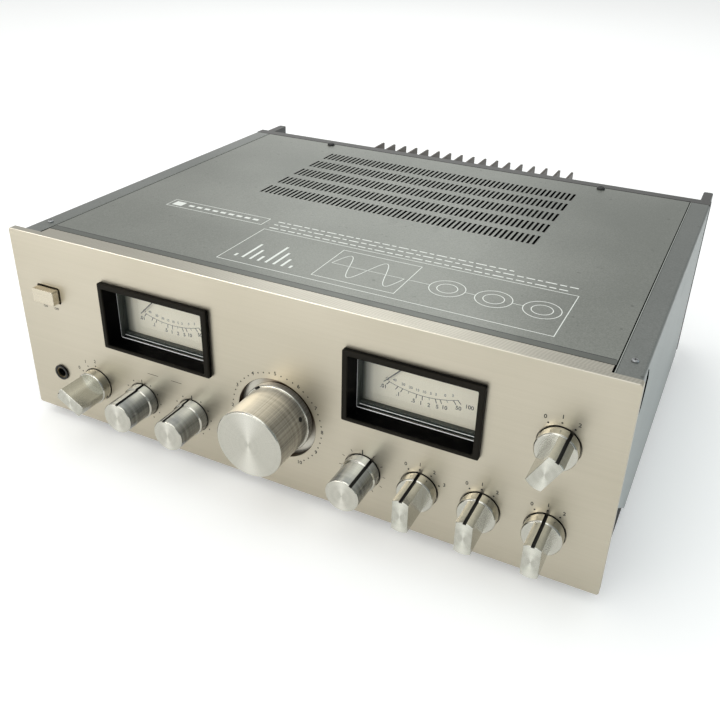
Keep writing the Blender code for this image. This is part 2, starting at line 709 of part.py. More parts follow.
def side_frame(name, side, material):
    """Black inner wall with a flange that carries the covers."""
    outer = side * FRAME_OUTER_X
    inner = side * (FRAME_OUTER_X - SHEET)
    flange = side * FRAME_FLANGE_X
    outline = [
        (flange, FLANGE_TOP), (outer, FLANGE_TOP), (outer, FLOOR_OF_BODY),
        (inner, FLOOR_OF_BODY), (inner, FLANGE_TOP - SHEET), (flange, FLANGE_TOP - SHEET),
    ]
    shape = loft([across_depth(outline, depth) for depth in (INNER_FRONT, INNER_REAR)])
    hole = SCREW_RADIUS + SLIDE_GAP
    heights = (FLANGE_TOP - SHEET - OVERRUN, FLANGE_TOP + OVERRUN)
    screw = upright([(hole, height) for height in heights], side * RAIL_SCREW_X, RAIL_SCREW_DEPTH, PIN_ROUND)
    body(name, shape, material, [screw])


def bottom_plate(material):
    """Flat plate that closes the body below."""
    shape = block((-FRAME_OUTER_X, FRAME_OUTER_X), (INNER_FRONT, INNER_REAR), (BOTTOM_HEIGHT, BOTTOM_TOP))
    body("bottom_plate", shape, material)


def rear_panel(material):
    """Rear wall with the flange that ends the top, and a hole for the mains gland."""
    outline = [
        (LIP_FRONT, COVER_TOP), (BODY_DEPTH, COVER_TOP), (BODY_DEPTH, BOTTOM_HEIGHT),
        (REAR_PANEL_FRONT, BOTTOM_HEIGHT), (REAR_PANEL_FRONT, COVER_UNDERSIDE), (LIP_FRONT, COVER_UNDERSIDE),
    ]
    shape = loft([across_x(outline, x) for x in (-BODY_HALF_WIDTH, BODY_HALF_WIDTH)])
    radius = GLAND_NECK_RADIUS + SLIDE_GAP
    through = (REAR_PANEL_FRONT - OVERRUN, BODY_DEPTH + OVERRUN)
    hole = turned([(radius, depth) for depth in through], GLAND_X, GLAND_HEIGHT, SMALL_ROUND)
    body("rear_panel", shape, material, [hole])


def rear_cross_bar(material):
    """Bar under the rear edge of the top cover that takes its screws."""
    half_width = FRAME_FLANGE_X - SEAT_GAP
    depths = (COVER_REAR - CROSS_BAR_DEPTH, COVER_REAR)
    heights = (FLANGE_TOP - CROSS_BAR_THICKNESS, FLANGE_TOP)
    hole = SCREW_RADIUS + SLIDE_GAP
    through = (heights[0] - OVERRUN, heights[1] + OVERRUN)
    cuts = [
        upright([(hole, height) for height in through], x, COVER_SCREW_DEPTH, PIN_ROUND)
        for x in (-COVER_SCREW_X, COVER_SCREW_X)
    ]
    body("rear_cross_bar", block((-half_width, half_width), depths, heights), material, cuts)


def screw(name, x, depth, head_radius, head_height, material):
    """Pan head screw that stands upright on the top sheet."""
    seat = COVER_TOP + SEAT_GAP
    shape = upright([
        (SCREW_RADIUS, seat - SCREW_LENGTH),
        (SCREW_RADIUS, seat),
        (head_radius, seat),
        (head_radius, seat + head_height / 2),
        (head_radius - head_height / 2, seat + head_height),
    ], x, depth, PIN_ROUND)
    body(name, shape, material)


def foot(name, x, depth, material):
    """Round foot, a little wider at the top."""
    floor = -FLOOR_TO_PANEL
    shape = upright([
        (FOOT_SOLE_RADIUS, floor),
        (FOOT_SOLE_RADIUS + FOOT_EDGE, floor + FOOT_EDGE),
        (FOOT_RADIUS, BOTTOM_HEIGHT - FOOT_EDGE),
        (FOOT_RADIUS, BOTTOM_HEIGHT - SEAT_GAP),
    ], x, depth, SINK_ROUND)
    body(name, shape, material)


def heat_sink(material):
    """Comb of upright fins on one base, extruded over its height."""
    reach = (FIN_COUNT - 1) / 2 * FIN_PITCH
    half_width = reach + FIN_THICKNESS / 2 + HEAT_SINK_MARGIN
    valley = REAR_MOUNT + HEAT_SINK_BASE
    outline = [
        (half_width, valley), (half_width, REAR_MOUNT), (-half_width, REAR_MOUNT), (-half_width, valley),
    ]
    for fin in range(FIN_COUNT):
        left = fin * FIN_PITCH - reach - FIN_THICKNESS / 2
        right = left + FIN_THICKNESS
        outline += [(left, valley), (left, FIN_REAR), (right, FIN_REAR), (right, valley)]
    body("heat_sink", loft([across_height(outline, height) for height in (FIN_BOTTOM, FIN_TOP)]), material)


def rear_guard(name, side, material):
    """Upright guard at a rear corner that keeps walls and cables off the connections."""
    width = GUARD_OUTER_X - GUARD_INNER_X
    middle = (side * (GUARD_OUTER_X + GUARD_INNER_X) / 2, (REAR_MOUNT + GUARD_REACH) / 2)
    outline = rounded(width, GUARD_REACH - REAR_MOUNT, GUARD_CORNER, middle)
    shape = loft([across_height(outline, height) for height in (GUARD_BOTTOM, GUARD_TOP)])
    body(name, shape, material)


def meter_bezel(name, x, material):
    """Black frame on the panel whose neck goes through the window to the glass."""
    frame_middle = (x, BEZEL_BOTTOM + BEZEL_HEIGHT / 2)
    neck_middle = (x, WINDOW_MIDDLE)
    frame = rounded(BEZEL_WIDTH, BEZEL_HEIGHT, BEZEL_CORNER, frame_middle)
    edge = BEZEL_CHAMFER * 2
    face = rounded(BEZEL_WIDTH - edge, BEZEL_HEIGHT - edge, BEZEL_CORNER, frame_middle)
    mouth = rounded(WINDOW_WIDTH, WINDOW_HEIGHT, BEZEL_CORNER, neck_middle)
    taper = WINDOW_TAPER * 2
    throat = rounded(WINDOW_WIDTH - taper, WINDOW_HEIGHT - taper, BEZEL_CORNER, neck_middle)
    neck = rounded(NECK_WIDTH, NECK_HEIGHT, BEZEL_CORNER, neck_middle)
    shape = loft([
        across_depth(frame, -SEAT_GAP),
        across_depth(frame, BEZEL_CHAMFER_DEPTH - BEZEL_PROUD),
        across_depth(face, -BEZEL_PROUD),
        across_depth(mouth, -BEZEL_PROUD),
        across_depth(throat, NECK_REAR),
        across_depth(neck, NECK_REAR),
        across_depth(neck, -SEAT_GAP),
    ], closed=True)
    body(name, shape, material)


def meter_glass(name, x, material):
    """Thick clear cover behind the bezel's neck."""
    outline = rounded(NECK_WIDTH, NECK_HEIGHT, BEZEL_CORNER, (x, WINDOW_MIDDLE))
    depths = (GLASS_FRONT, GLASS_FRONT + GLASS_THICKNESS)
    body(name, loft([across_depth(outline, depth) for depth in depths]), material)


def meter_case(name, x, material):
    """Block with a pocket for glass, needle and dial, and a bore for the needle's pin."""
    sides = (x - CASE_HALF_WIDTH, x + CASE_HALF_WIDTH)
    shape = block(sides, (INNER_FRONT, CASE_REAR), (CASE_BOTTOM, CASE_TOP))
    pocket = block(
        (sides[0] + CASE_WALL, sides[1] - CASE_WALL),
        (INNER_FRONT - OVERRUN, CASE_POCKET_REAR),
        (CASE_BOTTOM + CASE_WALL, CASE_TOP - CASE_WALL),
    )
    radius = NEEDLE_PIN_RADIUS + BORE_GAP
    depths = (DIAL_FRONT, NEEDLE_PIN_REAR + SEAT_GAP)
    bore = turned([(radius, depth) for depth in depths], x, PIVOT_HEIGHT, PIN_ROUND)
    body(name, shape, material, [pocket], bores=[bore])


def meter_dial(name, x, material):
    """Thin printed plate at the back of the case's pocket, with a hole for the needle's pin."""
    half_width = CASE_HALF_WIDTH - CASE_WALL - SEAT_GAP
    heights = (CASE_BOTTOM + CASE_WALL + SEAT_GAP, CASE_TOP - CASE_WALL - SEAT_GAP)
    depths = (DIAL_FRONT, DIAL_FRONT + DIAL_THICKNESS)
    through = (depths[0] - OVERRUN, depths[1] + OVERRUN)
    hole = turned([(DIAL_HOLE_RADIUS, depth) for depth in through], x, PIVOT_HEIGHT, PIN_ROUND)
    body(name, block((x - half_width, x + half_width), depths, heights), material, [hole])


def meter_needle(name, x, material):
    """Needle that hangs from its pin, with a tail that balances it, turned to its rest."""
    pivot = (x, 0.0, PIVOT_HEIGHT)
    hub = turned([
        (NEEDLE_PIN_RADIUS, NEEDLE_PIN_REAR),
        (NEEDLE_PIN_RADIUS, NEEDLE_HUB_REAR),
        (NEEDLE_HUB_RADIUS, NEEDLE_HUB_REAR),
        (NEEDLE_HUB_RADIUS, NEEDLE_HUB_FRONT),
    ], x, PIVOT_HEIGHT, PIN_ROUND)
    start = PIVOT_HEIGHT - NEEDLE_HUB_RADIUS / 2
    tip = PIVOT_HEIGHT - NEEDLE_LENGTH
    outline = [
        (x - NEEDLE_HUB_WIDTH / 2, start), (x + NEEDLE_HUB_WIDTH / 2, start),
        (x + NEEDLE_TIP_WIDTH / 2, tip), (x - NEEDLE_TIP_WIDTH / 2, tip),
    ]
    depths = (NEEDLE_FRONT, NEEDLE_FRONT + NEEDLE_THICKNESS)
    blade = loft([across_depth(outline, depth) for depth in depths])
    tail = block(
        (x - NEEDLE_TAIL_WIDTH / 2, x + NEEDLE_TAIL_WIDTH / 2),
        (NEEDLE_HUB_FRONT + NEEDLE_TAIL_MARGIN, NEEDLE_HUB_REAR - NEEDLE_TAIL_MARGIN),
        (PIVOT_HEIGHT + NEEDLE_HUB_RADIUS / 2, PIVOT_HEIGHT + NEEDLE_TAIL_LENGTH),
    )
    body(name, hub, material, welds=[blade, tail], pivot=pivot, turn=NEEDLE_REST_ANGLE)


def shaft_profile():
    """Rear end of every knob: its shaft, from back to front."""
    return [(SHAFT_RADIUS, SHAFT_REAR)]


def pointer_groove(x, height, radius, reach):
    """Cutter for the groove along the top of a knob that shows where it points."""
    return block(
        (x - GROOVE_WIDTH / 2, x + GROOVE_WIDTH / 2),
        (-reach - OVERRUN, -SKIRT_SUNK),
        (height + radius - GROOVE_DEPTH, height + radius + OVERRUN),
    )


def round_knob(name, x, height, angle, material):
    """Turned knob with a skirt."""
    profile = shaft_profile() + [
        (SHAFT_RADIUS, SKIRT_SUNK),
        (SKIRT_RADIUS, SKIRT_SUNK),
        (SKIRT_RADIUS, SKIRT_CHAMFER - SKIRT_REACH),
        (ROUND_KNOB_RADIUS, -SKIRT_REACH),
        (ROUND_KNOB_RADIUS, KNOB_EDGE - ROUND_KNOB_REACH),
        (ROUND_KNOB_RADIUS - KNOB_EDGE, -ROUND_KNOB_REACH),
    ]
    shape = turned(profile, x, height, KNOB_ROUND)
    groove = pointer_groove(x, height, ROUND_KNOB_RADIUS, ROUND_KNOB_REACH)
    body(name, shape, material, [groove], pivot=(x, 0.0, height), turn=angle)


def bar_outline(x, height, radius, width):
    """Outline between two parallel flats, with round ends struck from the knob's axis."""
    reach = math.asin(width / 2 / radius)
    points = []
    for middle in (0.0, math.pi):
        for step in range(BAR_END_STEPS + 1):
            angle = middle + reach * (2 * step / BAR_END_STEPS - 1)
            points.append((x + radius * math.sin(angle), height + radius * math.cos(angle)))
    return points


def bar_knob(name, x, height, angle, material):
    """Round skirt with a bar across it."""
    skirt = turned(shaft_profile() + [
        (SHAFT_RADIUS, SKIRT_SUNK),
        (SKIRT_RADIUS, SKIRT_SUNK),
        (SKIRT_RADIUS, SKIRT_CHAMFER - SKIRT_REACH),
        (SKIRT_RADIUS - SKIRT_CHAMFER, -SKIRT_REACH),
    ], x, height, KNOB_ROUND)
    full = bar_outline(x, height, BAR_KNOB_RADIUS, BAR_KNOB_WIDTH)
    inner = bar_outline(x, height, BAR_KNOB_RADIUS - KNOB_EDGE, BAR_KNOB_WIDTH - KNOB_EDGE * 2)
    bar = loft([
        across_depth(full, -SKIRT_REACH + SKIRT_CHAMFER),
        across_depth(full, KNOB_EDGE - BAR_KNOB_REACH),
        across_depth(inner, -BAR_KNOB_REACH),
    ])
    groove = pointer_groove(x, height, BAR_KNOB_RADIUS, BAR_KNOB_REACH)
    body(name, skirt, material, [groove], [bar], pivot=(x, 0.0, height), turn=angle)


def volume_knob(name, x, height, angle, material):
    """Large turned knob with a flange in the panel's recess, a set screw hole and a notch."""
    flange_rear = VOLUME_SINK_DEPTH - SEAT_GAP
    shape = turned(shaft_profile() + [
        (SHAFT_RADIUS, flange_rear),
        (VOLUME_FLANGE_RADIUS, flange_rear),
        (VOLUME_FLANGE_RADIUS, FINE_CHAMFER - VOLUME_FLANGE_REACH),
        (VOLUME_FLANGE_RADIUS - FINE_CHAMFER, -VOLUME_FLANGE_REACH),
        (VOLUME_RADIUS, -VOLUME_FLANGE_REACH),
        (VOLUME_RADIUS, KNOB_EDGE - VOLUME_REACH),
        (VOLUME_RADIUS - KNOB_EDGE, -VOLUME_REACH),
    ], x, height, LARGE_ROUND)
    notch = block(
        (x - VOLUME_NOTCH_WIDTH / 2, x + VOLUME_NOTCH_WIDTH / 2),
        (-VOLUME_FLANGE_REACH - FINE_CHAMFER, flange_rear + OVERRUN),
        (height + VOLUME_FLANGE_RADIUS - FINE_CHAMFER, height + VOLUME_FLANGE_RADIUS + OVERRUN),
    )
    cuts = [notch, set_screw_hole(x, height, math.radians(SET_SCREW_ANGLE - angle))]
    body(name, shape, material, cuts, pivot=(x, 0.0, height), turn=angle)


def set_screw_hole(x, height, angle):
    """Cutter for a blind radial hole in the volume knob's side."""
    outward = Vector((math.sin(angle), 0.0, math.cos(angle)))
    sideways = Vector((math.cos(angle), 0.0, -math.sin(angle)))
    forward = Vector((0.0, 1.0, 0.0))
    centre = Vector((x, -SET_SCREW_REACH, height))
    rings = []
    for distance in (VOLUME_RADIUS - SET_SCREW_HOLE_DEPTH, VOLUME_RADIUS + OVERRUN):
        ring = circle(SET_SCREW_HOLE_RADIUS, PIN_ROUND)
        rings.append([centre + outward * distance + sideways * a + forward * b for a, b in ring])
    return loft(rings)


def knobs(material):
    """Every knob, with its origin on its shaft's axis at the panel's front face."""
    makers = {"round": round_knob, "bar": bar_knob, "volume": volume_knob}
    for name, (x, height, form, angle) in KNOBS.items():
        makers[form](name, x, height, angle, material)


def controls(material):
    """The control or rotary switch behind each knob, with its bushing and bore."""
    for knob, name in CONTROL_NAMES.items():
        x, height, form, _ = KNOBS[knob]
        radius = SWITCH_RADIUS if form == "bar" else CONTROL_RADIUS
        rear = SWITCH_REAR if form == "bar" else CONTROL_REAR
        front = VOLUME_SINK_DEPTH if form == "volume" else BUSHING_FRONT
        bore = SHAFT_RADIUS + BORE_GAP
        shape = turned([
            (bore, front),
            (BUSHING_RADIUS, front),
            (BUSHING_RADIUS, INNER_FRONT),
            (radius, INNER_FRONT),
            (radius, rear),
        ], x, height, PIN_ROUND)
        cut = turned([(bore, depth) for depth in (front - OVERRUN, BORE_REAR)], x, height, SMALL_ROUND)
        body(name, shape, material, [cut])


def power_button(material):
    """Rectangular push button with a square stem."""
    middle = (BUTTON_X, BUTTON_HEIGHT)
    face = rounded(BUTTON_WIDTH - FINE_CHAMFER * 2, BUTTON_TALL - FINE_CHAMFER * 2, BUTTON_CORNER / 2, middle)
    full = rounded(BUTTON_WIDTH, BUTTON_TALL, BUTTON_CORNER, middle)
    stem = rounded(STEM_WIDTH, STEM_WIDTH, STEM_CORNER, middle)
    shape = loft([
        across_depth(face, -BUTTON_REACH),
        across_depth(full, FINE_CHAMFER - BUTTON_REACH),
        across_depth(full, BUTTON_BACK),
        across_depth(stem, BUTTON_BACK),
        across_depth(stem, STEM_REAR),
    ])
    body("power_button", shape, material, pivot=(BUTTON_X, 0.0, BUTTON_HEIGHT))


def power_switch(material):
    """Switch block behind the button, held to the sub-frame by two arms."""
    front = BUTTON_BACK + BUTTON_TRAVEL + SEAT_GAP
    half_width = POWER_SWITCH_WIDTH / 2
    heights = (BUTTON_HEIGHT - POWER_SWITCH_TALL / 2, BUTTON_HEIGHT + POWER_SWITCH_TALL / 2)
    shape = block((BUTTON_X - half_width, BUTTON_X + half_width), (INNER_FRONT, POWER_SWITCH_REAR), heights)
    inside = half_width - POWER_SWITCH_ARM
    gap = block(
        (BUTTON_X - inside, BUTTON_X + inside),
        (INNER_FRONT - OVERRUN, front),
        (heights[0] - OVERRUN, heights[1] + OVERRUN),
    )
    width = STEM_WIDTH + SLIDE_GAP * 2
    outline = rounded(width, width, STEM_CORNER, (BUTTON_X, BUTTON_HEIGHT))
    bore = loft([across_depth(outline, depth) for depth in (front - OVERRUN, POWER_SWITCH_BORE_REAR)])
    body("power_switch", shape, material, [gap], bores=[bore])


def headphone_jack(material):
    """Socket with a ring on the panel, a neck through it and a body behind."""
    shape = turned([
        (JACK_RING_RADIUS - FINE_CHAMFER, -JACK_RING_PROUD),
        (JACK_RING_RADIUS, FINE_CHAMFER - JACK_RING_PROUD),
        (JACK_RING_RADIUS, -SEAT_GAP),
        (JACK_NECK_RADIUS, -SEAT_GAP),
        (JACK_NECK_RADIUS, INNER_FRONT),
        (JACK_BODY_RADIUS, INNER_FRONT),
        (JACK_BODY_RADIUS, JACK_REAR),
    ], JACK_X, JACK_HEIGHT, SMALL_ROUND)
    depths = (-JACK_RING_PROUD - OVERRUN, JACK_BORE_REAR)
    bore = turned([(JACK_BORE_RADIUS, depth) for depth in depths], JACK_X, JACK_HEIGHT, SMALL_ROUND)
    body("headphone_jack", shape, material, [bore])


def main_board(material):
    """Circuit board on posts."""
    shape = block(
        (BOARD_LEFT, BOARD_RIGHT), (BOARD_FRONT, BOARD_REAR), (BOARD_HEIGHT, BOARD_HEIGHT + BOARD_THICKNESS),
    )
    posts = []
    for x in (BOARD_LEFT + BOARD_POST_INSET, BOARD_RIGHT - BOARD_POST_INSET):
        for depth in (BOARD_FRONT + BOARD_POST_INSET, BOARD_REAR - BOARD_POST_INSET):
            heights = (FLOOR_OF_BODY, BOARD_HEIGHT + BOARD_POST_OVERLAP)
            posts.append(upright([(BOARD_POST_RADIUS, height) for height in heights], x, depth, PIN_ROUND))
    body("main_board", shape, material, welds=posts)


def power_supply(material):
    """Closed box of the switching power supply."""
    width = SUPPLY_RIGHT - SUPPLY_LEFT
    middle = (SUPPLY_LEFT + width / 2, (SUPPLY_FRONT + SUPPLY_REAR) / 2)
    outline = rounded(width, SUPPLY_REAR - SUPPLY_FRONT, SUPPLY_CORNER, middle)
    body("power_supply", loft([across_height(outline, h) for h in (FLOOR_OF_BODY, SUPPLY_HEIGHT)]), material)


def input_sockets(material):
    """Plate with rows of round input sockets."""
    right = SOCKET_LEFT + (SOCKET_COLUMNS - 1) * SOCKET_PITCH
    high = SOCKET_LOW + (SOCKET_ROWS - 1) * SOCKET_PITCH
    plate_rear = REAR_MOUNT + SOCKET_PLATE
    plate = block(
        (SOCKET_LEFT - SOCKET_PLATE_MARGIN, right + SOCKET_PLATE_MARGIN),
        (REAR_MOUNT, plate_rear),
        (SOCKET_LOW - SOCKET_PLATE_MARGIN, high + SOCKET_PLATE_MARGIN),
    )
    end = plate_rear + SOCKET_REACH
    barrels = []
    bores = []
    for column in range(SOCKET_COLUMNS):
        for row in range(SOCKET_ROWS):
            x = SOCKET_LEFT + column * SOCKET_PITCH
            height = SOCKET_LOW + row * SOCKET_PITCH
            barrel = [(SOCKET_RADIUS, depth) for depth in (plate_rear - SOCKET_PLATE / 2, end)]
            bore = [(SOCKET_BORE_RADIUS, depth) for depth in (end - SOCKET_BORE_DEPTH, end + OVERRUN)]
            barrels.append(turned(barrel, x, height, PIN_ROUND))
            bores.append(turned(bore, x, height, FINE_BORE_ROUND))
    body("input_sockets", plate, material, bores, barrels)


def speaker_terminals(material):
    """Block with two rows of screw terminals."""
    right = TERMINAL_LEFT + (TERMINAL_COLUMNS - 1) * TERMINAL_PITCH_X
    high = TERMINAL_LOW + (TERMINAL_ROWS - 1) * TERMINAL_PITCH_HEIGHT
    block_rear = REAR_MOUNT + TERMINAL_BLOCK
    shape = block(
        (TERMINAL_LEFT - TERMINAL_MARGIN, right + TERMINAL_MARGIN),
        (REAR_MOUNT, block_rear),
        (TERMINAL_LOW - TERMINAL_MARGIN, high + TERMINAL_MARGIN),
    )
    end = block_rear + TERMINAL_REACH
    posts = []
    for column in range(TERMINAL_COLUMNS):
        for row in range(TERMINAL_ROWS):
            x = TERMINAL_LEFT + column * TERMINAL_PITCH_X
            height = TERMINAL_LOW + row * TERMINAL_PITCH_HEIGHT
            posts.append(turned([
                (TERMINAL_RADIUS, block_rear - TERMINAL_BLOCK / 2),
                (TERMINAL_RADIUS, end - TERMINAL_EDGE),
                (TERMINAL_RADIUS - TERMINAL_EDGE, end),
            ], x, height, PIN_ROUND))
    body("speaker_terminals", shape, material, welds=posts)


def mains_gland(material):
    """Round gland through the rear panel with a bore for the mains cord."""
    rear = REAR_MOUNT + GLAND_COLLAR
    shape = tube([
        (GLAND_BORE_RADIUS, GLAND_NECK_FRONT),
        (GLAND_NECK_RADIUS, GLAND_NECK_FRONT),
        (GLAND_NECK_RADIUS, REAR_MOUNT),
        (GLAND_COLLAR_RADIUS, REAR_MOUNT),
        (GLAND_COLLAR_RADIUS, rear - FINE_CHAMFER),
        (GLAND_COLLAR_RADIUS - FINE_CHAMFER, rear),
        (GLAND_BORE_RADIUS, rear),
    ], GLAND_X, GLAND_HEIGHT, SMALL_ROUND)
    body("mains_gland", shape, material)


def ground_post(material):
    """Thumb nut on a waist for the ground wire."""
    waist_rear = REAR_MOUNT + GROUND_WAIST
    cap_rear = waist_rear + GROUND_CAP
    shape = turned([
        (GROUND_WAIST_RADIUS, REAR_MOUNT),
        (GROUND_WAIST_RADIUS, waist_rear),
        (GROUND_RADIUS, waist_rear),
        (GROUND_RADIUS, cap_rear - FINE_CHAMFER),
        (GROUND_RADIUS - FINE_CHAMFER, cap_rear),
    ], GROUND_X, GROUND_HEIGHT, PIN_ROUND)
    body("ground_post", shape, material)


def sheet_body(steel, grey, black):
    """Every plate and cover of the body, with the screws."""
    front_sub_frame(steel)
    front_strip(steel)
    top_cover(grey)
    bottom_plate(black)
    rear_panel(grey)
    rear_cross_bar(black)
    for name, side in (("left", -1), ("right", 1)):
        side_cover("side_cover_" + name, side, grey)
        side_frame("side_frame_" + name, side, black)
        screw(
            "cover_screw_" + name, side * COVER_SCREW_X, COVER_SCREW_DEPTH,
            COVER_SCREW_HEAD_RADIUS, COVER_SCREW_HEAD_HEIGHT, black,
        )
        screw(
            "rail_screw_" + name, side * RAIL_SCREW_X, RAIL_SCREW_DEPTH,
            RAIL_SCREW_HEAD_RADIUS, RAIL_SCREW_HEAD_HEIGHT, steel,
        )


def meters(black, glass, card, needle):
    """Both meters, from the bezel to the needle."""
    for name, x in meter_places():
        meter_bezel("bezel_" + name, x, black)
        meter_glass("glass_" + name, x, glass)
        meter_case("meter_case_" + name, x, black)
        meter_dial("dial_" + name, x, card)
        meter_needle("needle_" + name, x, needle)


def standing_pieces(black, dark):
    """Feet, guards and heat sink."""
    for row, depth in zip(("front", "rear"), FOOT_DEPTHS):
        for name, x in (("left", -FOOT_X), ("right", FOOT_X)):
            foot("foot_" + row + "_" + name, x, depth, black)
    for name, side in (("left", -1), ("right", 1)):
        rear_guard("rear_guard_" + name, side, black)
    heat_sink(dark)


def amplifier():
    """The whole amplifier."""
    silver = finish("brushed_aluminium", (0.62, 0.56, 0.48), 0.35, 1.0)
    steel = finish("bright_steel", (0.55, 0.54, 0.52), 0.35, 1.0)
    grey = finish("grey_paint", (0.29, 0.29, 0.27), 0.5, 0.2)
    black = finish("black_paint", (0.02, 0.02, 0.02), 0.5, 0.0)
    dark = finish("dark_anodised", (0.09, 0.08, 0.07), 0.45, 0.6)
    glass = finish("clear_glass", (0.9, 0.92, 0.92), 0.05, 0.0)
    card = finish("dial_card", (0.62, 0.6, 0.52), 0.7, 0.0)
    board = finish("board_green", (0.05, 0.16, 0.07), 0.6, 0.0)

    front_panel(silver)
    sheet_body(steel, grey, black)
    standing_pieces(black, dark)
    meters(black, glass, card, black)
    knobs(silver)
    controls(steel)
    power_button(silver)
    power_switch(black)
    headphone_jack(black)
    main_board(board)
    power_supply(steel)
    input_sockets(black)
    speaker_terminals(black)
    mains_gland(black)
    ground_post(silver)


empty_scene()
amplifier()
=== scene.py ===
"""Looks of an integrated stereo amplifier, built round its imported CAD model.

+X is to the right of someone who faces the front panel, +Y goes to the back, +Z is up. The model is
in metres, but places are written as x, depth behind the panel's front face, and height above its lower
edge, in millimetres. Angles on the panel count clockwise from straight up, as seen from the front.
"""
import math

import bmesh
import bpy
from mathutils import Matrix, Vector


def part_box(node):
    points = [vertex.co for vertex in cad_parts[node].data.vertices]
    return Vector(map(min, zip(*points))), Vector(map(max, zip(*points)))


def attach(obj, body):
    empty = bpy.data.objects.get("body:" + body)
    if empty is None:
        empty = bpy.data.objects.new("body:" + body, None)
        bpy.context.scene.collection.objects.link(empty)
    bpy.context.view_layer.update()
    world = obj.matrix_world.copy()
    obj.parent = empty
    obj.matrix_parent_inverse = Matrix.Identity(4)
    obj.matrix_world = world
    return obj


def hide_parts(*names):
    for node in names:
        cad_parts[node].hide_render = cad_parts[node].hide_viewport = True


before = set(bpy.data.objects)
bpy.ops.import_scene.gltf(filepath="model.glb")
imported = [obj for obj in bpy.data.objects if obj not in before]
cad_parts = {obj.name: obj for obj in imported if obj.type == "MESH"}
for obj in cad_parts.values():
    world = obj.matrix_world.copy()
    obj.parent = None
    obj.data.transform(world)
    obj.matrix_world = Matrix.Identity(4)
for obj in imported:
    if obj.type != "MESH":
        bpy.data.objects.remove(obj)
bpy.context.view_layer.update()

MM = 0.001
_, FRONT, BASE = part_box("front_panel")[0]
ORIGIN = Vector((0, FRONT, BASE))
SHEET = 1.2
INK = 0.03
# Radius at which turned skins are closed round their axis
CORE = 0.1

# Where each knob's pointer stands, in degrees
POINTERS = {
    "speaker_knob": -60, "bass_knob": 5, "treble_knob": -12, "balance_knob": 32,
    "filter_knob": 0, "tape_copy_knob": 0, "monitor_knob": 0, "function_knob": 30,
}
ROUND_KNOBS = ("bass_knob", "treble_knob", "balance_knob")
# First stop of each bar knob in degrees, and how many stops it has
STOPS = {
    "speaker_knob": (-60, 3), "filter_knob": (-30, 4), "tape_copy_knob": (-30, 3), "monitor_knob": (-30, 3),
    "function_knob": (-30, 3),
}
STOP_ANGLE = 30


def at(x, depth, height):
    """Point of the model from its place on the panel."""
    return Vector((x * MM, FRONT + depth * MM, BASE + height * MM))


def extent(node):
    """Lowest and highest x, depth and height of a CAD node."""
    return [[value / MM for value in corner - ORIGIN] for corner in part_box(node)]


def middle(node):
    """Middle of a CAD node across and up the panel."""
    low, high = extent(node)
    return (low[0] + high[0]) / 2, (low[2] + high[2]) / 2


def footprint(node):
    """Middle of a round upright CAD node, as x and depth, and its radius."""
    low, high = extent(node)
    return (low[0] + high[0]) / 2, (low[1] + high[1]) / 2, (high[0] - low[0]) / 2


# Node trees


def maths(operation, swapped=False):
    """Operator of a wire that adds one maths node; a swapped one takes the wire second."""
    def work_out(wire, other=0.0):
        first, second = (other, wire) if swapped else (wire, other)
        return wire.graph.node("ShaderNodeMath", {0: first, 1: second}, operation=operation)
    return work_out


class Wire:
    """Value on one socket; sums and products of wires add the nodes that work them out."""

    __add__, __radd__ = maths("ADD"), maths("ADD", True)
    __sub__, __rsub__ = maths("SUBTRACT"), maths("SUBTRACT", True)
    __mul__, __rmul__ = maths("MULTIPLY"), maths("MULTIPLY", True)
    __truediv__, __mod__, __pow__ = maths("DIVIDE"), maths("FLOORED_MODULO"), maths("POWER")
    sine, cosine, over = maths("SINE"), maths("COSINE"), maths("GREATER_THAN")

    def __init__(self, graph, socket):
        self.graph = graph
        self.socket = socket

    def spread(self, low, high):
        """The same value, widened so that low to high becomes 0 to 1."""
        return self.graph.node("ShaderNodeMapRange", {0: self, 1: low, 2: high})


class Graph:
    """Node tree whose nodes all come from one method."""

    def __init__(self, tree):
        self.tree = tree

    def feed(self, socket, value):
        if isinstance(value, Wire):
            self.tree.links.new(value.socket, socket)
        else:
            socket.default_value = value

    def node(self, kind, sockets=None, output=0, **settings):
        made = self.tree.nodes.new(kind)
        for name, value in settings.items():
            setattr(made, name, value)
        for name, value in (sockets or {}).items():
            self.feed(made.inputs[name], value)
        return Wire(self, made.outputs[output])

    def vector(self, x, y, z):
        return self.node("ShaderNodeCombineXYZ", {0: x, 1: y, 2: z})

    def vectors(self, operation, first, second=(0, 0, 0), output=0):
        return self.node("ShaderNodeVectorMath", {0: first, 1: second}, output, operation=operation)

    def parts(self, vector):
        split = self.node("ShaderNodeSeparateXYZ", {0: vector}).socket.node
        return [Wire(self, socket) for socket in split.outputs]

    def blend(self, factor, low, high):
        return self.node("ShaderNodeMix", {0: factor, 6: low, 7: high}, 2, data_type="RGBA")


MATERIALS = {}


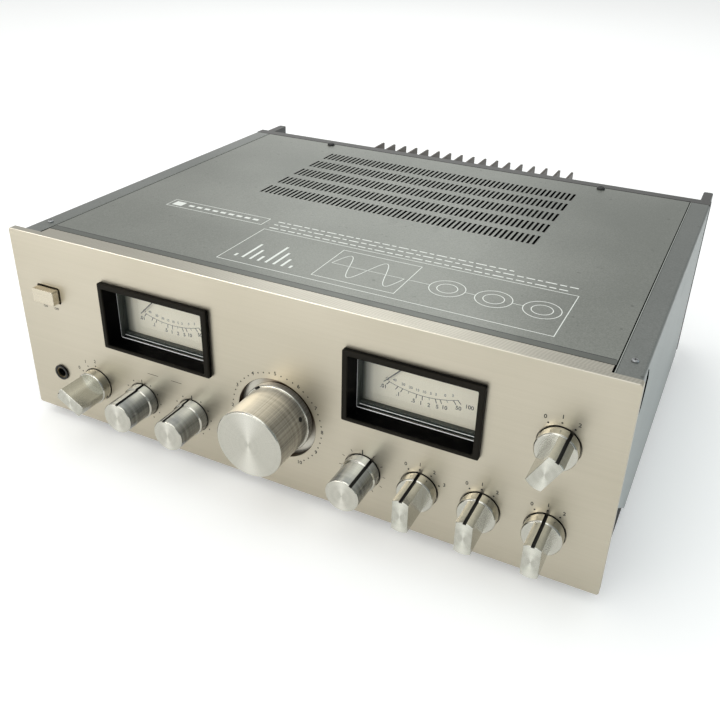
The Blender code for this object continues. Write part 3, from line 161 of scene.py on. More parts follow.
class Finish(Graph):
    """Material of one finish on a Principled shader, kept under its name."""

    def __init__(self, name, constants):
        MATERIALS[name] = material = bpy.data.materials.new(name)
        material.use_nodes = True
        super().__init__(material.node_tree)
        self.shader = self.tree.nodes["Principled BSDF"]
        self.output = self.tree.nodes["Material Output"]
        self.set(constants)

    def set(self, values):
        for name, value in values.items():
            self.feed(self.shader.inputs[name], value)

    def place(self, stretch=(1, 1, 1), move=(0, 0, 0)):
        """Object coordinates in metres, moved and then stretched."""
        point = self.node("ShaderNodeTexCoord", output="Object")
        return self.vectors("MULTIPLY", self.vectors("ADD", point, move), stretch)

    def noise(self, scale=1.0, detail=2.0, vector=None):
        sockets = {"Vector": vector or self.place(), "Scale": scale, "Detail": detail}
        return self.node("ShaderNodeTexNoise", sockets)

    def noise_along(self, value, scale, detail=2.0):
        sockets = {"W": value, "Scale": scale, "Detail": detail}
        return self.node("ShaderNodeTexNoise", sockets, noise_dimensions="1D")

    def bump(self, height, distance):
        sockets = {"Height": height, "Distance": distance * MM, "Strength": 1.0}
        self.set({"Normal": self.node("ShaderNodeBump", sockets)})

    def surface(self, tone, low, high, roughness, height, distance):
        """Colour that runs from low to high as a tone goes from 0 to 1, roughness, and bumps."""
        self.set({"Base Color": self.blend(tone, colour(low), colour(high)), "Roughness": roughness})
        self.bump(height, distance)


# Finishes; their colours are sRGB levels of 0 to 255, three of them or one for a grey


def colour(levels):
    """Linear colour of three sRGB levels, or of one level for a grey."""
    shares = [level / 255 for level in (levels if isinstance(levels, tuple) else (levels,) * 3)]
    linear = [share / 12.92 if share <= 0.04045 else ((share + 0.055) / 1.055) ** 2.4 for share in shares]
    return (*linear, 1.0)


def brushed(name, low, high, roughness):
    """Metal with fine straight lines across the amplifier, and broad soft patches."""
    finish = Finish(name, {"Metallic": 1.0})
    lines = finish.noise(1.0, 3.0, finish.place((6, 2600, 2600)))
    bands = finish.noise(1.0, 2.0, finish.place((5, 330, 330)))
    tone = (lines * 0.25 + bands * 0.15 + finish.noise(9.0) * 0.6).spread(0.34, 0.66)
    roughness = roughness + (bands - 0.5) * 0.04 + (lines - 0.5) * 0.05
    finish.surface(tone, low, high, roughness, lines, 0.002)


def ribbed(name, low, high, roughness):
    """Metal strip with fine slanting saw marks across it."""
    finish = Finish(name, {"Metallic": 1.0})
    x, y, _ = finish.parts(finish.place((3000, 900, 1)))
    ribs = (x - y).sine() * 0.5 + 0.5
    worn = finish.noise(1.0, 3.0, finish.place((30, 200, 30)))
    finish.surface(ribs * 0.55 + worn * 0.45, low, high, roughness + (worn - 0.5) * 0.2, ribs, 0.01)


def turned_metal(
    name, centre, roughness, low=(176, 174, 164), high=(214, 212, 203), highlight_angle=0, highlight_sharpness=6.0,
    grooves=0.02, metallic=1.0, lining=0.3,
):
    """Metal turned on a lathe about an axis along the depth, through a point on the panel.

    Its fine grooves are bumps; two opposite rays of painted highlight are set into its colour, with painted
    shade between them, and highlight_angle is the angle of one of them.
    """
    finish = Finish(name, {"Metallic": metallic})
    x, y, z = finish.parts(finish.place(move=-at(centre[0], 0, centre[1])))
    radius = (x * x + z * z) ** 0.5
    around = finish.vectors("NORMALIZE", finish.vector(x, 0.0, z))
    turn = math.radians(highlight_angle)
    facing = finish.vectors("DOT_PRODUCT", around, (math.sin(turn), 0.0, math.cos(turn)), "Value")
    # rays is painted highlight: the colour is lighter along two opposite rays and darker between them, as
    # painted shade
    rays = (facing * facing) ** highlight_sharpness
    bands = finish.noise_along(radius - y, 420.0)
    lines = finish.noise(30.0, 2.0, around)
    tone = (rays * 0.6 + bands * 0.2 + lines * lining).spread(0.1, 0.9)
    roughness = roughness + (bands - 0.5) * 0.04 + (lines - 0.5) * 0.06
    finish.surface(tone, low, high, roughness, finish.noise_along(radius - y, 4200.0, 1.0), grooves)


def painted(
    name, low, high, roughness, grain=1400.0, depth=0.02, metallic=0.0, gloss=0.5, wear=0.0, shade_zones=(),
):
    """Sprayed paint or moulded plastic with a fine grain and slight unevenness.

    Wear adds dark specks. A shade zone paints shade by place: it is an axis, a place along it, and the colour
    on the lower side of it.
    """
    finish = Finish(name, {"Metallic": metallic, "Specular IOR Level": gloss})
    grains = finish.noise(grain)
    patches = finish.noise(7.0, 3.0)
    scuffs = finish.noise(1.0, 4.0, finish.place((60, 25, 60))).spread(0.62, 0.8)
    tone = finish.blend((patches * 0.5 + grains * 0.5).spread(0.38, 0.62), colour(low), colour(high))
    if wear:
        specks = finish.noise(210.0, 1.0).spread(0.73, 0.79)
        tone = finish.blend(specks * wear, tone, colour(52))
    # Painted shade: each shade zone gives the paint another colour below its place
    for axis, limit, shade in shade_zones:
        level = finish.parts(finish.place())[axis]
        tone = finish.blend(level.spread(limit, limit - 0.1 * MM), tone, colour(shade))
    finish.set({"Base Color": tone, "Roughness": roughness + (grains - 0.5) * 0.1 + scuffs * 0.08})
    finish.bump(grains, depth)


def plated(name, low, high, roughness):
    """Plated metal with a faint cloudy pattern."""
    finish = Finish(name, {"Metallic": 1.0})
    clouds = finish.noise(260.0, 3.0)
    spots = finish.noise(1900.0)
    roughness = roughness + (spots - 0.5) * 0.12 + (clouds - 0.5) * 0.08
    finish.surface(clouds.spread(0.35, 0.65), low, high, roughness, spots, 0.006)


def ink(name, levels, roughness=0.5):
    """Ink with a slightly uneven film, for print and for lines of painted shadow, shade and highlight."""
    finish = Finish(name, {})
    film = finish.noise(2500.0)
    tone = colour(levels)
    thin = (*[level * 0.8 for level in tone[:3]], 1.0)
    finish.set({"Base Color": finish.blend(film, tone, thin), "Roughness": roughness + (film - 0.5) * 0.2})


def clear_pane():
    """Clear glass: light passes straight through, and more is mirrored at a slant."""
    finish = Finish("clear_pane", {})
    finish.tree.nodes.remove(finish.shader)
    smudge = finish.noise(40.0, 3.0)
    gloss = finish.node("ShaderNodeBsdfAnisotropic", {"Color": (1, 1, 1, 1), "Roughness": 0.04})
    clear = finish.node("ShaderNodeBsdfTransparent", {"Color": (0.98, 0.985, 0.975, 1)})
    slant = finish.node("ShaderNodeLayerWeight", {"Blend": 0.5}, "Facing")
    mirrored = 0.03 + smudge * 0.02 + slant ** 5.0 * 0.9
    mixed = finish.node("ShaderNodeMixShader", {0: mirrored, 1: clear, 2: gloss})
    finish.feed(finish.output.inputs["Surface"], mixed)


def lit_edge():
    """Painted highlight for the glass edges: a pale colour with a little emission, so that the strips glow
    though no lamp is there.
    """
    finish = Finish("painted_glass_highlight", {"Base Color": colour(232), "Roughness": 0.3, "Emission Strength": 0.4})
    cloud = finish.noise(90.0, 3.0).spread(0.35, 0.65)
    finish.set({"Emission Color": finish.blend(cloud, colour(180), colour(235))})


def board_finish():
    """Green circuit board with copper tracks under its lacquer."""
    finish = Finish("board", {"Coat Weight": 0.4})
    x, y, _ = finish.parts(finish.place((240, 240, 240)))
    wander = finish.noise(60.0, 1.0) * 4
    mask = (x + wander).sine().over(0.55) * 0.6 + (y + wander).sine().over(0.8) * 0.4
    finish.surface(mask, (12, 40, 24), (34, 62, 32), 0.35, mask, 0.03)


def dial_card(name, edge):
    """Cream card that gets darker towards its left edge, where the case shades it."""
    finish = Finish(name, {"Roughness": 0.6})
    x, _, _ = finish.parts(finish.place())
    fibres = finish.noise(1500.0)
    card = finish.blend(fibres, colour((226, 218, 202)), colour((236, 229, 214)))
    light = x.spread(edge * MM, (edge + 7) * MM)
    finish.set({"Base Color": finish.blend(light, colour((104, 106, 101)), card)})
    finish.bump(fibres, 0.008)


COVER_TOP = extent("top_cover")[1][2]
# Depth of the fold behind the top cover's front edge
COVER_FOLD = extent("top_cover")[0][1] + 5.5
# Painted shade on the top cover: a darker band on the lip in front of the fold, and near black below its top
# face, on the slot walls and edges
COVER_SHADE_ZONES = (
    (1, at(0, COVER_FOLD, 0)[1], (97, 100, 95)), (2, at(0, 0, COVER_TOP - 0.1)[2], 3),
)
# Bezels: a lighter front face, and the reveal behind it in near black paint as painted shade
BEZEL_SHADE_ZONES = ((1, at(0, extent("bezel_left")[0][1] + 1.3, 0)[1], (34, 32, 28)),)
STEEL = {"grain": 1100.0, "depth": 0.05, "metallic": 0.55}

brushed("panel_champagne", (180, 173, 156), (191, 184, 168), 0.38)
# Painted highlight: a lighter copy of the panel metal for the rounded top front edge
brushed("painted_edge_highlight", (212, 206, 192), (220, 215, 202), 0.34)
brushed("button_metal", (194, 185, 166), (206, 198, 180), 0.27)
brushed("folded_alloy", 46, 60, 0.5)
ribbed("strip_metal", (166, 162, 151), (192, 188, 177), 0.38)
painted("cover_paint", (116, 119, 113), (140, 142, 136), 0.36, wear=0.4, shade_zones=COVER_SHADE_ZONES, **STEEL)
# Rail and wall are one sheet; the wall's copy of the paint is lighter and bluer, as painted light on the side
# that catches it
painted("rail_paint", (108, 111, 108), (127, 130, 127), 0.36, wear=0.4, **STEEL)
painted("lit_wall_paint", (114, 121, 119), (134, 142, 140), 0.36, wear=0.2, **STEEL)
painted("black_paint", 28, 36, 0.5)
# A darker copy of the black paint for the side frames, as painted shade behind the side covers
painted("shaded_frame_paint", 10, 16, 0.6, gloss=0.1)
painted("rear_paint", (71, 70, 69), (85, 84, 83), 0.5)
painted("dark_anodised", (62, 55, 48), (80, 72, 64), 0.42, 900.0, 0.015, 0.5)
painted("bezel_plastic", 1, 3, 0.45, 1100.0, 0.012, gloss=0.03, shade_zones=BEZEL_SHADE_ZONES)
painted("socket_plastic", 10, 16, 0.4, gloss=0.3)
painted("smoked_plastic", (52, 57, 55), (64, 69, 66), 0.3)
painted("red_plastic", (150, 24, 22), (166, 34, 30), 0.38)
painted("white_plastic", (214, 212, 205), (226, 224, 218), 0.4)
painted("foot_rubber", 24, 34, 0.75, 700.0, 0.05)
painted("needle_paint", 20, 28, 0.4)
# Painted shade: dark brown bands inside the recesses round the knobs
painted("painted_recess_shade", (50, 38, 27), (62, 49, 36), 0.5, gloss=0.1)
# Painted shade: black for the gaps round the top cover and a patch on the right side cover
painted("painted_shade_black", 2, 4, 0.9, gloss=0.0)
plated("zinc_steel", (148, 150, 152), (181, 182, 183), 0.4)
plated("nickel", 190, 214, 0.18)
plated("worn_brass", (126, 112, 88), (156, 142, 114), 0.35)
ink("black_ink", 14)
ink("grey_ink", 104)
ink("pale_ink", (248, 250, 245), 0.55)
ink("fold_shadow", 44)
# Painted highlight: pale lines beside the rail edges
ink("rail_edge_highlight", (158, 162, 156))
# Black for the pointer grooves and the volume knob's index mark, and for painted shade: skirt bases, set
# screw holes and screw crosses
ink("black_inlay_and_shade", 6, 0.6)
clear_pane()
lit_edge()
board_finish()


# Shapes


class Shell:
    """Closed skin of one shape in panel coordinates, with a finish number for each face."""

    def __init__(self, points, faces):
        self.points = points
        self.faces = faces
        self.slots = [0] * len(faces)

    def wholly(self, number):
        """The same shell, in one finish of its piece."""
        self.slots = [number] * len(self.faces)
        return self


def neighbours(ring):
    """Pairs of places that follow each other round a ring."""
    return list(zip(ring, ring[1:] + ring[:1]))


def loft(rings, loop=False):
    """Skin over rings with the same number of points; open lofts get flat ends."""
    count = len(rings[0])
    points = [point for ring in rings for point in ring]
    numbers = [list(range(start, start + count)) for start in range(0, len(points), count)]
    spans = neighbours(numbers) if loop else list(zip(numbers, numbers[1:]))
    faces = [
        (near, near_next, far_next, far)
        for ring, after in spans
        for (near, near_next), (far, far_next) in zip(neighbours(ring), neighbours(after))
    ]
    return Shell(points, faces if loop else faces + [tuple(numbers[0]), tuple(numbers[-1])])


def round_off(profile, edge, loop=False):
    """Replace the corners of a line by small curves, with a point beside each to keep flats flat."""
    points = [Vector(point) for point in profile]
    result = []
    for index, corner in enumerate(points):
        before = points[index - 1] - corner
        after = points[(index + 1) % len(points)] - corner
        kept = not loop and index in (0, len(points) - 1) or min(before.length, after.length) < 1e-4
        if kept or before.angle(after) > math.radians(165):
            result.append(corner)
            continue
        size = min(edge, before.length * 0.32, after.length * 0.32)
        start = corner + before.normalized() * size
        end = corner + after.normalized() * size
        if before.length > size * 5:
            result.append(start + before.normalized() * size * 0.6)
        for share in (0, 1 / 3, 2 / 3, 1):
            result.append(start * (1 - share) ** 2 + corner * 2 * share * (1 - share) + end * share ** 2)
        if after.length > size * 5:
            result.append(end + after.normalized() * size * 0.6)
    return [tuple(point) for point in result]


def around(radius, steps):
    """Places round a circle, across and up, clockwise from the top."""
    angles = [2 * math.pi * step / steps for step in range(steps)]
    return [(radius * math.sin(angle), radius * math.cos(angle)) for angle in angles]


def turned(profile, centre, steps=96, loop=False, upright=False):
    """Skin turned about a line along the depth or about an upright one, from points as radius and level."""
    rings = []
    for radius, level in profile:
        ring = [(centre[0] + u, centre[1] + v) for u, v in around(radius, steps)]
        rings.append([(u, v, level) if upright else (u, level, v) for u, v in ring])
    return loft(rings, loop)


def hoop(inner, outer, front, rear, edge, centre, steps):
    """Ring or sleeve about a line along the depth, with rounded edges."""
    profile = round_off([(inner, front), (outer, front), (outer, rear), (inner, rear)], edge, loop=True)
    return turned(profile, centre, steps, loop=True)


def radial_plug(centre, angle, depth, radius, inner, outer, steps=24):
    """Short rod in the second finish, which points away from a knob's axis."""
    turn = math.radians(angle)
    away = Vector((math.sin(turn), 0, math.cos(turn)))
    side = Vector((math.cos(turn), 0, -math.sin(turn)))
    axis = Vector((centre[0], depth, centre[1]))
    return loft([
        [tuple(axis + away * reach + side * u + Vector((0, v, 0))) for u, v in around(radius, steps)]
        for reach in (inner, outer)
    ]).wholly(1)


def circle(centre, radius, steps=48):
    """Round outline, as a function of how far it is grown."""
    return lambda grow: [(centre[0] + x, centre[1] + z) for x, z in around(radius + grow, steps)]


def rectangle(low, high, corner, inset=0.0):
    """Outline with rounded corners between two corners of a node, as a function of how far it is grown."""
    left, right = low[0] + inset + corner, high[0] - inset - corner
    bottom, top = low[2] + inset + corner, high[2] - inset - corner

    def outline(grow):
        points = []
        for quarter, (x, height) in enumerate(((right, top), (right, bottom), (left, bottom), (left, top))):
            for step in range(6):
                angle = math.radians(90 * quarter + 18 * step)
                reach = corner + grow
                points.append((x + reach * math.sin(angle), height + reach * math.cos(angle)))
        return points

    return outline


def across(outline, depth):
    """Outline on the panel placed at a depth."""
    return [(x, depth, height) for x, height in outline]


def levels_between(front, rear, edge, steps):
    """Depths between two faces, each with how far the rounded edges are cut back there."""
    angles = [math.pi / 2 * step / steps for step in range(steps + 1)]
    curve = [(edge * (1 - math.sin(angle)), edge * (1 - math.cos(angle))) for angle in angles]
    fronts = [(cut, front + depth) for cut, depth in curve]
    return fronts + [(cut, rear - depth) for cut, depth in reversed(curve)]


def block(outline, front, rear, edge):
    """Solid between two depths with softly rounded front and rear edges."""
    return loft([across(outline(-cut), depth) for cut, depth in levels_between(front, rear, edge, 3)])


def plate(outline, holes, front, rear, edge):
    """Plate between two depths with open holes; all its edges are rounded."""
    levels = levels_between(front, rear, edge, 2)
    build = bmesh.new()
    points, fronts, rears = [], [], []
    for path, sign in [(outline, -1)] + [(hole, 1) for hole in holes]:
        lines = [across(path(sign * cut), depth) for cut, depth in levels]
        points += sum(lines, [])
        rings = [[build.verts.new(point) for point in line] for line in lines]
        for near_ring, far_ring in zip(rings, rings[1:]):
            for (near, near_next), (far, far_next) in zip(neighbours(near_ring), neighbours(far_ring)):
                build.faces.new((near, near_next, far_next, far))
        fronts += [build.edges.get(pair) for pair in neighbours(rings[0])]
        rears += [build.edges.get(pair) for pair in neighbours(rings[-1])]
    for edges in (fronts, rears):
        bmesh.ops.triangle_fill(build, edges=edges, use_beauty=True, use_dissolve=False)
    build.verts.index_update()
    faces = [tuple(vertex.index for vertex in face.verts) for face in build.faces]
    build.free()
    return Shell(points, faces)


def slab(low, high):
    """Plain box of ink or sheet between two corners, as x, depth, height."""
    outline = [(low[0], low[2]), (high[0], low[2]), (high[0], high[2]), (low[0], high[2])]
    return loft([across(outline, low[1]), across(outline, high[1])])


def ribbon(line, width, base, raised, flat=False):
    """Thin line of ink between two depths on the panel, or between two heights if it lies flat."""
    rings = []
    for index, point in enumerate(line):
        before = line[max(index - 1, 0)]
        after = line[min(index + 1, len(line) - 1)]
        along = Vector((after[0] - before[0], after[1] - before[1])).normalized()
        side = Vector((-along[1], along[0])) * width / 2
        left = (point[0] + side[0], point[1] + side[1])
        right = (point[0] - side[0], point[1] - side[1])
        ring = ((*left, raised), (*right, raised), (*right, base), (*left, base))
        rings.append([(u, v, level) if flat else (u, level, v) for u, v, level in ring])
    return loft(rings)


def outline_bars(left, right, low, high, line):
    """Four bars that make a frame, each as left, right, low and high."""
    return [
        (left, right, low, low + line), (left, right, high - line, high),
        (left, left + line, low + line, high - line), (right - line, right, low + line, high - line),
    ]


# Pieces


def linked(name, data):
    """New object in the scene."""
    item = bpy.data.objects.new(name, data)
    bpy.context.scene.collection.objects.link(item)
    return item


def solved(item):
    """Plain mesh of an object with its modifiers worked out, in place of the object."""
    ready = item.evaluated_get(bpy.context.evaluated_depsgraph_get())
    mesh = bpy.data.meshes.new_from_object(ready)
    bpy.data.objects.remove(item, do_unlink=True)
    return mesh


def mesh_from(build, name):
    """Mesh of a finished bmesh."""
    mesh = bpy.data.meshes.new(name)
    build.to_mesh(mesh)
    build.free()
    return mesh


def settle(name, mesh, finishes, replaced=None, body="chassis", angle=30):
    """Put a finished mesh into the scene; it rides on a body and may stand for a CAD node."""
    if mesh.materials:
        mesh.materials.clear()
    for finish in finishes:
        mesh.materials.append(MATERIALS[finish])
    mesh.shade_smooth()
    mesh.set_sharp_from_angle(angle=math.radians(angle))
    plain = linked(name, mesh)
    plain.modifiers.new("keep_flats_flat", "WEIGHTED_NORMAL").keep_sharp = True
    item = linked(name, solved(plain))
    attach(item, body)
    if replaced:
        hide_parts(replaced)


def piece(name, shells, finishes, replaced=None, body="chassis", angle=30, turn=None):
    """Finished object from shells; turn is an angle and the place on the panel that it is about."""
    build = bmesh.new()
    for shell in shells:
        corners = [build.verts.new([value * MM for value in point]) for point in shell.points]
        for face, number in zip(shell.faces, shell.slots):
            made = build.faces.new([corners[index] for index in face])
            made.material_index = number
    if turn:
        degrees, centre = turn
        about = Vector((centre[0], 0, centre[1])) * MM
        spin = Matrix.Rotation(math.radians(degrees), 3, "Y")
        for vertex in build.verts:
            vertex.co = about + spin @ (vertex.co - about)
    bmesh.ops.recalc_face_normals(build, faces=build.faces[:])
    bmesh.ops.translate(build, verts=build.verts[:], vec=ORIGIN)
    settle(name, mesh_from(build, name), finishes, replaced, body, angle)


def refined(node, finish, edge, segments=2):
    """Copy of a CAD node whose edges are rounded, which stands for it."""
    build = bmesh.new()
    build.from_mesh(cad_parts[node].data)
    bmesh.ops.remove_doubles(build, verts=build.verts[:], dist=1e-6)
    bmesh.ops.dissolve_limit(build, angle_limit=math.radians(1), verts=build.verts[:], edges=build.edges[:])
    rough = linked(node + "_rough", mesh_from(build, node + "_fine"))
    bevel = rough.modifiers.new("edges", "BEVEL")
    bevel.width = edge * MM
    bevel.segments = segments
    bevel.angle_limit = math.radians(35)
    settle(node + "_fine", solved(rough), [finish], node)


# Repeated marks, made with geometry nodes, and figures

MARK_INPUTS = {
    "Count": "Int", "Centre": "Vector", "Radius": "Float", "Start": "Float",
    "Step": "Float", "Width": "Float", "Length": "Float", "Gap Every": "Int",
}


def marks_tree():
    """Tree that sets round or straight marks on an arc of the panel.

    A length of zero gives dots; every so many marks one is left out, for a number.
    """
    tree = bpy.data.node_groups.new("marks_on_an_arc", "GeometryNodeTree")
    tree.interface.new_socket("Geometry", in_out="OUTPUT", socket_type="NodeSocketGeometry")
    for name, kind in MARK_INPUTS.items():
        tree.interface.new_socket(name, in_out="INPUT", socket_type="NodeSocket" + kind)
    graph = Graph(tree)
    entry = tree.nodes.new("NodeGroupInput")
    given = {name: Wire(graph, entry.outputs[name]) for name in MARK_INPUTS}
    index = graph.node("GeometryNodeInputIndex")
    angle = given["Start"] + index * given["Step"]
    ray = graph.vector(angle.sine(), 0.0, angle.cosine())
    offset = graph.node("ShaderNodeVectorMath", {0: ray, "Scale": given["Radius"]}, operation="SCALE")
    points = graph.node("GeometryNodePoints", {
        "Count": given["Count"], "Position": graph.vectors("ADD", offset, given["Centre"]),
    })
    kept = graph.node("GeometryNodeDeleteGeometry", {
        "Geometry": points, "Selection": 0.5 - (index + 1) % given["Gap Every"],
    }, domain="POINT")
    dot = graph.node("GeometryNodeMeshCylinder", {
        "Vertices": 14, "Radius": given["Width"] / 2.0, "Depth": INK * MM,
    })
    facing = graph.node("GeometryNodeTransform", {"Geometry": dot, "Rotation": (math.pi / 2, 0.0, 0.0)})
    size = graph.vector(given["Width"], INK * MM, given["Length"])
    tick = graph.node("GeometryNodeMeshCube", {"Size": size})
    shape = graph.node("GeometryNodeSwitch", {
        "Switch": given["Length"].over(0.0), "False": facing, "True": tick,
    }, input_type="GEOMETRY")
    placed = graph.node("GeometryNodeInstanceOnPoints", {
        "Points": kept, "Instance": shape, "Rotation": graph.vector(0.0, angle, 0.0),
    })
    real = graph.node("GeometryNodeRealizeInstances", {"Geometry": placed})
    inked = graph.node("GeometryNodeSetMaterial", {"Geometry": real, "Material": MATERIALS["black_ink"]})
    graph.feed(tree.nodes.new("NodeGroupOutput").inputs[0], inked)
    return tree


MARKS = marks_tree()


def marks(count, centre, radius, start, step, width, length=0.0, gap=1000):
    """Dots or ticks on an arc of the panel, with angles in degrees."""
    values = {
        "Count": count, "Centre": at(centre[0], -INK / 2, centre[1]), "Radius": radius * MM,
        "Start": math.radians(start), "Step": math.radians(step), "Width": width * MM,
        "Length": length * MM, "Gap Every": gap,
    }
    item = linked("marks", bpy.data.meshes.new("marks"))
    modifier = item.modifiers.new("grow", "NODES")
    modifier.node_group = MARKS
    for socket in MARKS.interface.items_tree:
        if socket.in_out == "INPUT":
            modifier[socket.identifier] = values[socket.name]
    return solved(item)


def lettering(text, x, height, size, depth=-INK / 2, behind=False):
    """Flat mesh of figures, centred on a place of the panel, or of the rear when it is read from behind."""
    curve = bpy.data.curves.new("figures", "FONT")
    curve.body = text
    curve.size = size * MM
    curve.align_x = "CENTER"
    curve.align_y = "CENTER"
    curve.extrude = INK / 2 * MM
    curve.offset = size * 0.022 * MM
    mesh = solved(linked("figures", curve))
    turn = Matrix.Rotation(math.pi if behind else 0, 4, "Z")
    mesh.transform(Matrix.Translation(at(x, depth, height)) @ turn @ Matrix.Rotation(math.pi / 2, 4, "X"))
    return mesh


def arc_figures(count, centre, reach, start, size):
    """Figures from 0 up on an arc of the panel, one for each stop."""
    turns = [math.radians(start + STOP_ANGLE * number) for number in range(count)]
    return [
        lettering(str(number), centre[0] + reach * math.sin(turn), centre[1] + reach * math.cos(turn), size)
        for number, turn in enumerate(turns)
    ]


def printed(name, meshes, finish):
    """One object from several meshes of ink."""
    build = bmesh.new()
    for mesh in meshes:
        build.from_mesh(mesh)
    settle(name, mesh_from(build, name), [finish])


# Front panel

SINK_RADIUS = 12.5
SINK_DEPTH = 1.2
VOLUME_SINK_RADIUS = 28.9
VOLUME_SINK_DEPTH = 4.4
SHAFT_HOLE = 4.7
JACK_HOLE = 4.9
BEZEL_LAP = 2.2
BUTTON_GAP = 0.8


def sink_floor(centre, radius, depth, rear):
    """Floor of a round recess, with a hole for the shaft."""
    profile = [(radius, depth), (radius, rear), (SHAFT_HOLE, rear), (SHAFT_HOLE, depth)]
    return turned(profile, centre, loop=True)


def sink_wall(centre, radius, depth):
    """Thin dark band of painted shade round a recess, from behind its rounded rim down to the floor."""
    rim, start = 0.12, 0.4
    profile = [(radius, start), (radius, depth), (radius - rim, depth), (radius - rim, start + rim)]
    return turned(profile, centre, loop=True).wholly(1)


def finish_top(sheet, top):
    """Strip finish on the panel's top side, and a painted highlight on the rounded edge in front of it."""
    for index, face in enumerate(sheet.faces):
        deepest = max(sheet.points[number][1] for number in face)
        lowest = min(sheet.points[number][2] for number in face)
        if lowest > top - 0.5 and 0.01 < deepest < 0.5:
            sheet.slots[index] = 4
        elif lowest > top - 0.2:
            sheet.slots[index] = 3


def front_panel():
    """Thick brushed panel with softly rounded edges, recesses, windows and a button hole."""
    low, high = extent("front_panel")
    sinks = [(middle(node), SINK_RADIUS, SINK_DEPTH) for node in (*ROUND_KNOBS, *STOPS)]
    sinks.append((middle("volume_knob"), VOLUME_SINK_RADIUS, VOLUME_SINK_DEPTH))
    holes = [circle(centre, radius, 96) for centre, radius, _ in sinks]
    holes += [rectangle(*extent("bezel_" + side), 1, BEZEL_LAP) for side in ("left", "right")]
    holes.append(rectangle(*extent("power_button"), 1.8, -BUTTON_GAP))
    holes.append(circle(middle("headphone_jack"), JACK_HOLE))
    sheet = plate(rectangle(low, high, 1.8), holes, low[1], high[1], 0.45)
    finish_top(sheet, high[2])
    floors = [sink_floor(centre, radius, depth, high[1]) for centre, radius, depth in sinks]
    floors[-1].wholly(2)
    # Dark bands of painted shade round the inside of each recess
    walls = [sink_wall(centre, radius, depth) for centre, radius, depth in sinks]
    # Volume recess floor: painted highlight towards the upper left and lower right, and dark brown painted
    # shade between
    turned_metal(
        "recess_floor", middle("volume_knob"), 0.3, (62, 42, 24), (214, 211, 200), -50, 2.6, lining=0.04,
    )
    finishes = ["panel_champagne", "painted_recess_shade", "recess_floor", "strip_metal", "painted_edge_highlight"]
    piece("panel_face", [sheet] + floors + walls, finishes, "front_panel")


# Knobs

GROOVE = 2.1
GROOVE_FLOOR = 10.4
SHAFT = 3
SKIRT = 12.1
SKIRT_FACE = -7.5
# Skirts are painted black behind this depth, as painted shade in the gap round them
SHADED_BASE = -0.5
KNOB_STEPS = 96
VOLUME_STEPS = 160


def groove_points(radius):
    """Sides and floor of the pointer groove at the top of a round outline, and the angle of its side."""
    half = min(GROOVE / 2, radius * 0.3)
    top = math.sqrt(radius * radius - half * half)
    floor = min(GROOVE_FLOOR, top * 0.9995)
    return [(-half, top), (-half, floor), (half, floor), (half, top)], math.asin(half / radius)


def grooved_ring(radius, centre, depth):
    """Ring whose first four points are the sides and floor of the pointer groove."""
    points, edge = groove_points(radius)
    for step in range(1, KNOB_STEPS):
        angle = edge + (2 * math.pi - 2 * edge) * step / KNOB_STEPS
        points.append((radius * math.sin(angle), radius * math.cos(angle)))
    return [(centre[0] + x, depth, centre[1] + z) for x, z in points]


def side_faces(shell, profile):
    """Number of each side face of a shell, its place round the ring, and its two profile points."""
    count = (len(shell.faces) - 2) // (len(profile) - 1)
    for index in range(len(shell.faces) - 2):
        span, place = divmod(index, count)
        yield index, place, profile[span], profile[span + 1]


def grooved(profile, centre):
    """Turned skin with the groove along its top; the groove gets the second finish as black inlay, and the
    base near the panel gets it as painted shade.
    """
    shell = loft([grooved_ring(radius, centre, depth) for radius, depth in profile])
    for index, place, near, far in side_faces(shell, profile):
        cut = place < 3 and min(near[0], far[0]) > GROOVE_FLOOR
        if cut or min(near[1], far[1]) > SHADED_BASE - 0.01:
            shell.slots[index] = 1
    return shell


def finish_sides(shell, profile, least):
    """Third finish on the straight sides beyond a radius, except where the second one is."""
    for index, _, near, far in side_faces(shell, profile):
        if not shell.slots[index] and abs(near[0] - far[0]) < 0.01 and near[0] > least:
            shell.slots[index] = 2


def small_profile(rear, rest, edge):
    """Profile of a small knob, from the rear of its shaft over the skirt."""
    start = [(CORE, rear), (SHAFT, rear), (SHAFT, 0.6), (SKIRT, 0.6), (SKIRT, SHADED_BASE)]
    return round_off(start + rest, edge)


def small_knob(node, name, shells, side):
    """Knob of a few shells, with one finish for its sides, turned to where its pointer stands."""
    centre = middle(node)
    # Knob metal with a ray of painted highlight straight up and down
    turned_metal(node + "_metal", centre, 0.17)
    finishes = [node + "_metal", "black_inlay_and_shade", side]
    piece(name, shells, finishes, node, node, turn=(POINTERS[node], centre))


def round_knob(node):
    """Turned knob on a skirt."""
    centre = middle(node)
    low, high = extent(node)
    profile = small_profile(high[1], [
        (SKIRT, -6.7), (11.2, SKIRT_FACE), (11.2, low[1] + 0.5), (10.7, low[1]),
        (CORE, low[1]),
    ], 0.15)
    shell = grooved(profile, centre)
    finish_sides(shell, profile, 11)
    # Sides: painted highlight in rays at 14 degrees and opposite it, painted shade between them
    turned_metal(node + "_side", centre, 0.14, (78, 77, 71), (244, 248, 247), 14, 3.0, metallic=0.6)
    small_knob(node, node + "_turned", [shell], node + "_side")


def bar_outline(centre, grow):
    """Bar with round ends struck from the knob's axis and a groove in its upper end."""
    radius = 11.3 + grow
    reach = math.asin((5.1 + grow) / radius)
    points, edge = groove_points(radius)
    angles = [edge + (reach - edge) * step / 6 for step in range(1, 7)]
    angles += [math.pi - reach + 2 * reach * step / 12 for step in range(13)]
    angles += [2 * math.pi - reach + (reach - edge) * step / 6 for step in range(6)]
    points += [(radius * math.sin(angle), radius * math.cos(angle)) for angle in angles]
    return [(centre[0] + x, centre[1] + z) for x, z in points]


